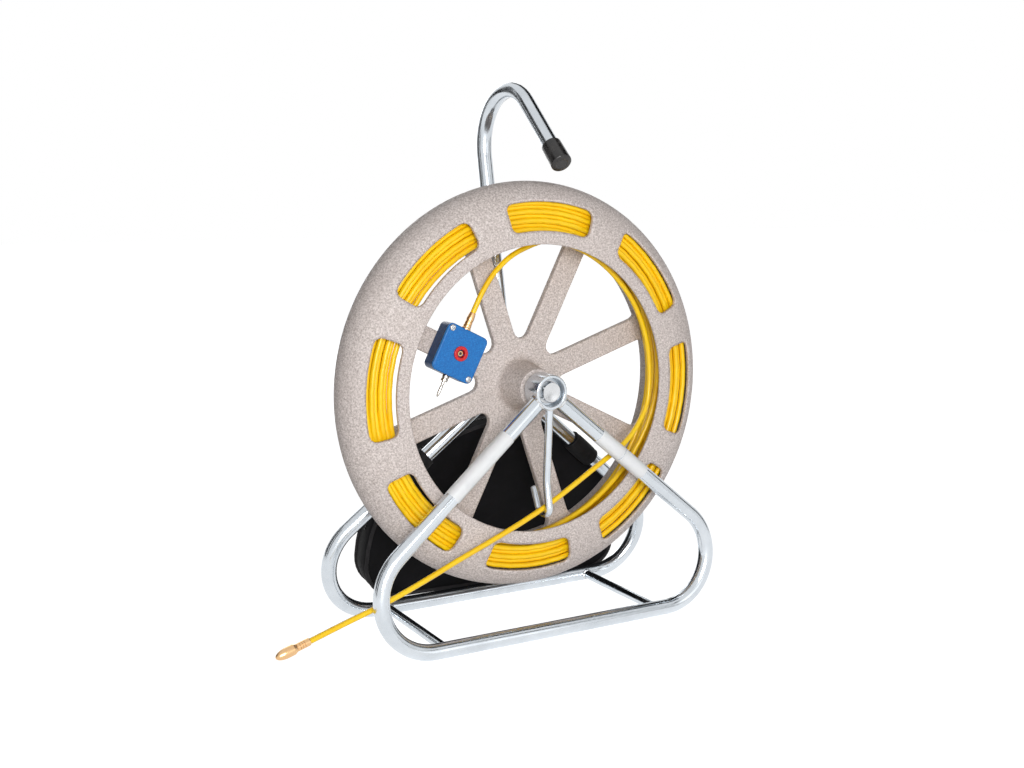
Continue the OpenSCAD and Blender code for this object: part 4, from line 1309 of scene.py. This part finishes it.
teeth = []
top_line = outline[2:27]
for a, b in zip(top_line, top_line[1:]):
    for k in range(5):
        spot = bag_middle + (a.lerp(b, k / 5) - bag_middle) * zip_out
        half = tooth_half if k % 2 else -tooth_half
        ends = [rear_lay(*spot, zip_depth - half), rear_lay(*spot, zip_depth + half)]
        teeth.append(sweep(ends, circle(tooth_r, 6)))
piece("zip_teeth", join(*teeth), "frame", rubber)

# %% Straps
strap_at = 168.0
strap_w = 46.0
strap_r = tube_r + 3.3
strap_end_r = strap_r - 1.2


def strap(name, node, side):
    """A cloth sleeve round a rear leg, drawn in a little at its hems."""
    section = []
    for k in range(15):
        t = k / 14
        hems = sum(0.7 * exp(-((t - at) / 0.03) ** 2) for at in (0.09, 0.91))
        section.append((strap_r - hems + 0.5 * sin(pi * t), strap_at + strap_w * (t - 0.5)))
    start, end = strap_at - strap_w / 2, strap_at + strap_w / 2
    section = [(tube_r, start + 1.0), (strap_end_r, start), *section, (strap_end_r, end), (tube_r, end - 1.0)]
    made = lathe(section, *leg_line(rear_lay, rear_rise, side), sides=40)
    piece(name, made, "frame", webbing, [node], sharp=60)


strap("left_leg_sleeve", "left_strap", -1)
strap("right_leg_sleeve", "right_strap", 1)

# %% [markdown]
# ## Pieces that keep their CAD shape
# Bearings, thrust washers, rim screws and what lies inside the box are plain turned parts that hardly
# show. Modelling them again would change nothing, so they stay as they are and only get their finish.

# %% Dressed CAD nodes
KEPT = (
    (steel, "bright_zinc", ["front_thrust_washer", "rear_thrust_washer", "rim_screws", "box_screws",
                            "socket_nut"]),
    (ivory, "bearing_plastic", ["front_bearing", "rear_bearing"]),
    (rubber, "black_rubber", ["box_gasket"]),
    (brass, "brass", ["socket_contact"]),
    (cover, "wire_cover", ["inner_wires"]),
)
for finish, slot, nodes in KEPT:
    for node in nodes:
        shown = frame["nodes"][node]
        shown.data.materials.clear()
        shown.data.materials.append(finish)
    print(slot, "on", *nodes)

# %% [markdown]
# ## Studio
# A pale floor, a white surround and three soft lamps. Light Path makes floor and surround plain white for
# the camera and for reflections, while the surround lights the object at a lower level, and more from the
# horizon than from above. Bright metal in an all-white room would be white. So dark cards, which only
# reflections see, draw its dark lines, and a flag, which no reflection sees, keeps soft light off the left.

# %% Floor
floor_half = 12.0
floor_glow = 1.62
glow_share = 0.6


def seen_ray(network):
    """1 for rays from the camera, a mirror or glass, and otherwise 0."""
    kinds = ("Is Camera Ray", "Is Glossy Ray", "Is Transmission Ray")
    camera_ray, glossy_ray, clear_ray = [network.node("ShaderNodeLightPath", output=kind) for kind in kinds]
    return camera_ray + glossy_ray + clear_ray


def plate(name, corners, finish):
    """A flat plate of the set, with four corners in metres."""
    mesh = bpy.data.meshes.new(name)
    mesh.from_pydata(corners, [], [(0, 1, 2, 3)])
    mesh.materials.append(finish.material)
    made = show(name, mesh)
    made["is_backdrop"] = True
    return made


pale = Finish("pale_floor", Specular_IOR_Level=0.1, Roughness=0.8, Base_Color=(0.9, 0.9, 0.9))
glow = pale.node("ShaderNodeEmission", {}, {"Color": (1, 1, 1), "Strength": floor_glow})
layers_of_floor = {0: seen_ray(pale) * glow_share, 1: Field(pale, pale.shader.outputs[0]), 2: glow}
pale.feed(pale.tree.nodes["Material Output"].inputs[0], pale.node("ShaderNodeMixShader", {}, layers_of_floor))
plate("floor", [(floor_half * x, floor_half * y, 0) for x, y in ((-1, -1), (1, -1), (1, 1), (-1, 1))], pale)
print(f"floor: {2 * floor_half:.0f} m wide")

# %% Surround
horizon_light = 0.36
zenith_light = 0.07
world = bpy.data.worlds.new("surround")
bpy.context.scene.world = world
world.use_nodes = True
surround = Network(world.node_tree, "Background")
heading = surround.node("ShaderNodeTexCoord", output="Generated")
height = surround.node("ShaderNodeSeparateXYZ", {}, {0: heading}, "Z")
fade = {"Value": height, "To Min": horizon_light, "To Max": zenith_light}
ambient = surround.node("ShaderNodeMapRange", {}, fade)
levels = {"Value": seen_ray(surround), "To Min": ambient, "To Max": 1.0}
surround.set(Color=(1, 1, 1), Strength=surround.node("ShaderNodeMapRange", {}, levels))
print("surround:", horizon_light, "from the horizon,", zenith_light, "from above")


# %% Lamps
def lamp(name, spot, size, power):
    data = bpy.data.lights.new(name, "AREA")
    data.size = size
    data.energy = power
    aim(show(name, data), spot)


lamp("key", (-0.85, -2.15, 0.78), 0.9, 40.0)
lamp("fill", (1.2, -2.6, 0.9), 1.4, 4.2)
lamp("back", (0.8, 2.8, 1.1), 1.8, 17.0)
print("lamps: key, fill and back")


# %% Cards
def card(name, corners, shade, flag=False):
    """A dark card that only reflections see. A flag takes away soft light instead, and they don't see it."""
    dark = Finish(f"{name}_black", Base_Color=(shade, shade, shade), Roughness=1.0, Specular_IOR_Level=0.0)
    made = plate(name, corners, dark)
    made.visible_camera = False
    made.visible_diffuse = flag
    made.visible_glossy = not flag
    made.visible_shadow = False


def upright(turn, width, low=0.05, high=3.2, distance=3.2):
    """Corners of a standing card. turn is its direction, in degrees from the front."""
    t = radians(turn)
    middle = Vector((sin(t), -cos(t), 0)) * distance
    side = Vector((cos(t), sin(t), 0)) * (width / 2)
    a, b = middle - side, middle + side
    return [(a.x, a.y, low), (b.x, b.y, low), (b.x, b.y, high), (a.x, a.y, high)]


CARDS = ((-95, 0.7), (-15, 0.25), (35, 0.45), (80, 0.9), (150, 0.8), (-150, 0.8))
for number, (turn, width) in enumerate(CARDS):
    card(f"card_{number}", upright(turn, width), 0.01)
card("side_card", upright(-125, 1.6, distance=3.4), 0.2)
card("ceiling_card", [(0.9, -0.8, 2.8), (3.4, -0.8, 2.8), (3.4, 3.4, 2.8), (0.9, 3.4, 2.8)], 0.02)
card("left_flag", upright(-105, 3.4, low=0.0, distance=2.0), 0.01, flag=True)
print("eight cards and a flag")

# %% Sizes and finish
dressed_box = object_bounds()
growth = [round((b - a) / MM, 1) for a, b in zip(cad_box[1], dressed_box[1])]
print("box grew by", growth, "mm at the high corner")
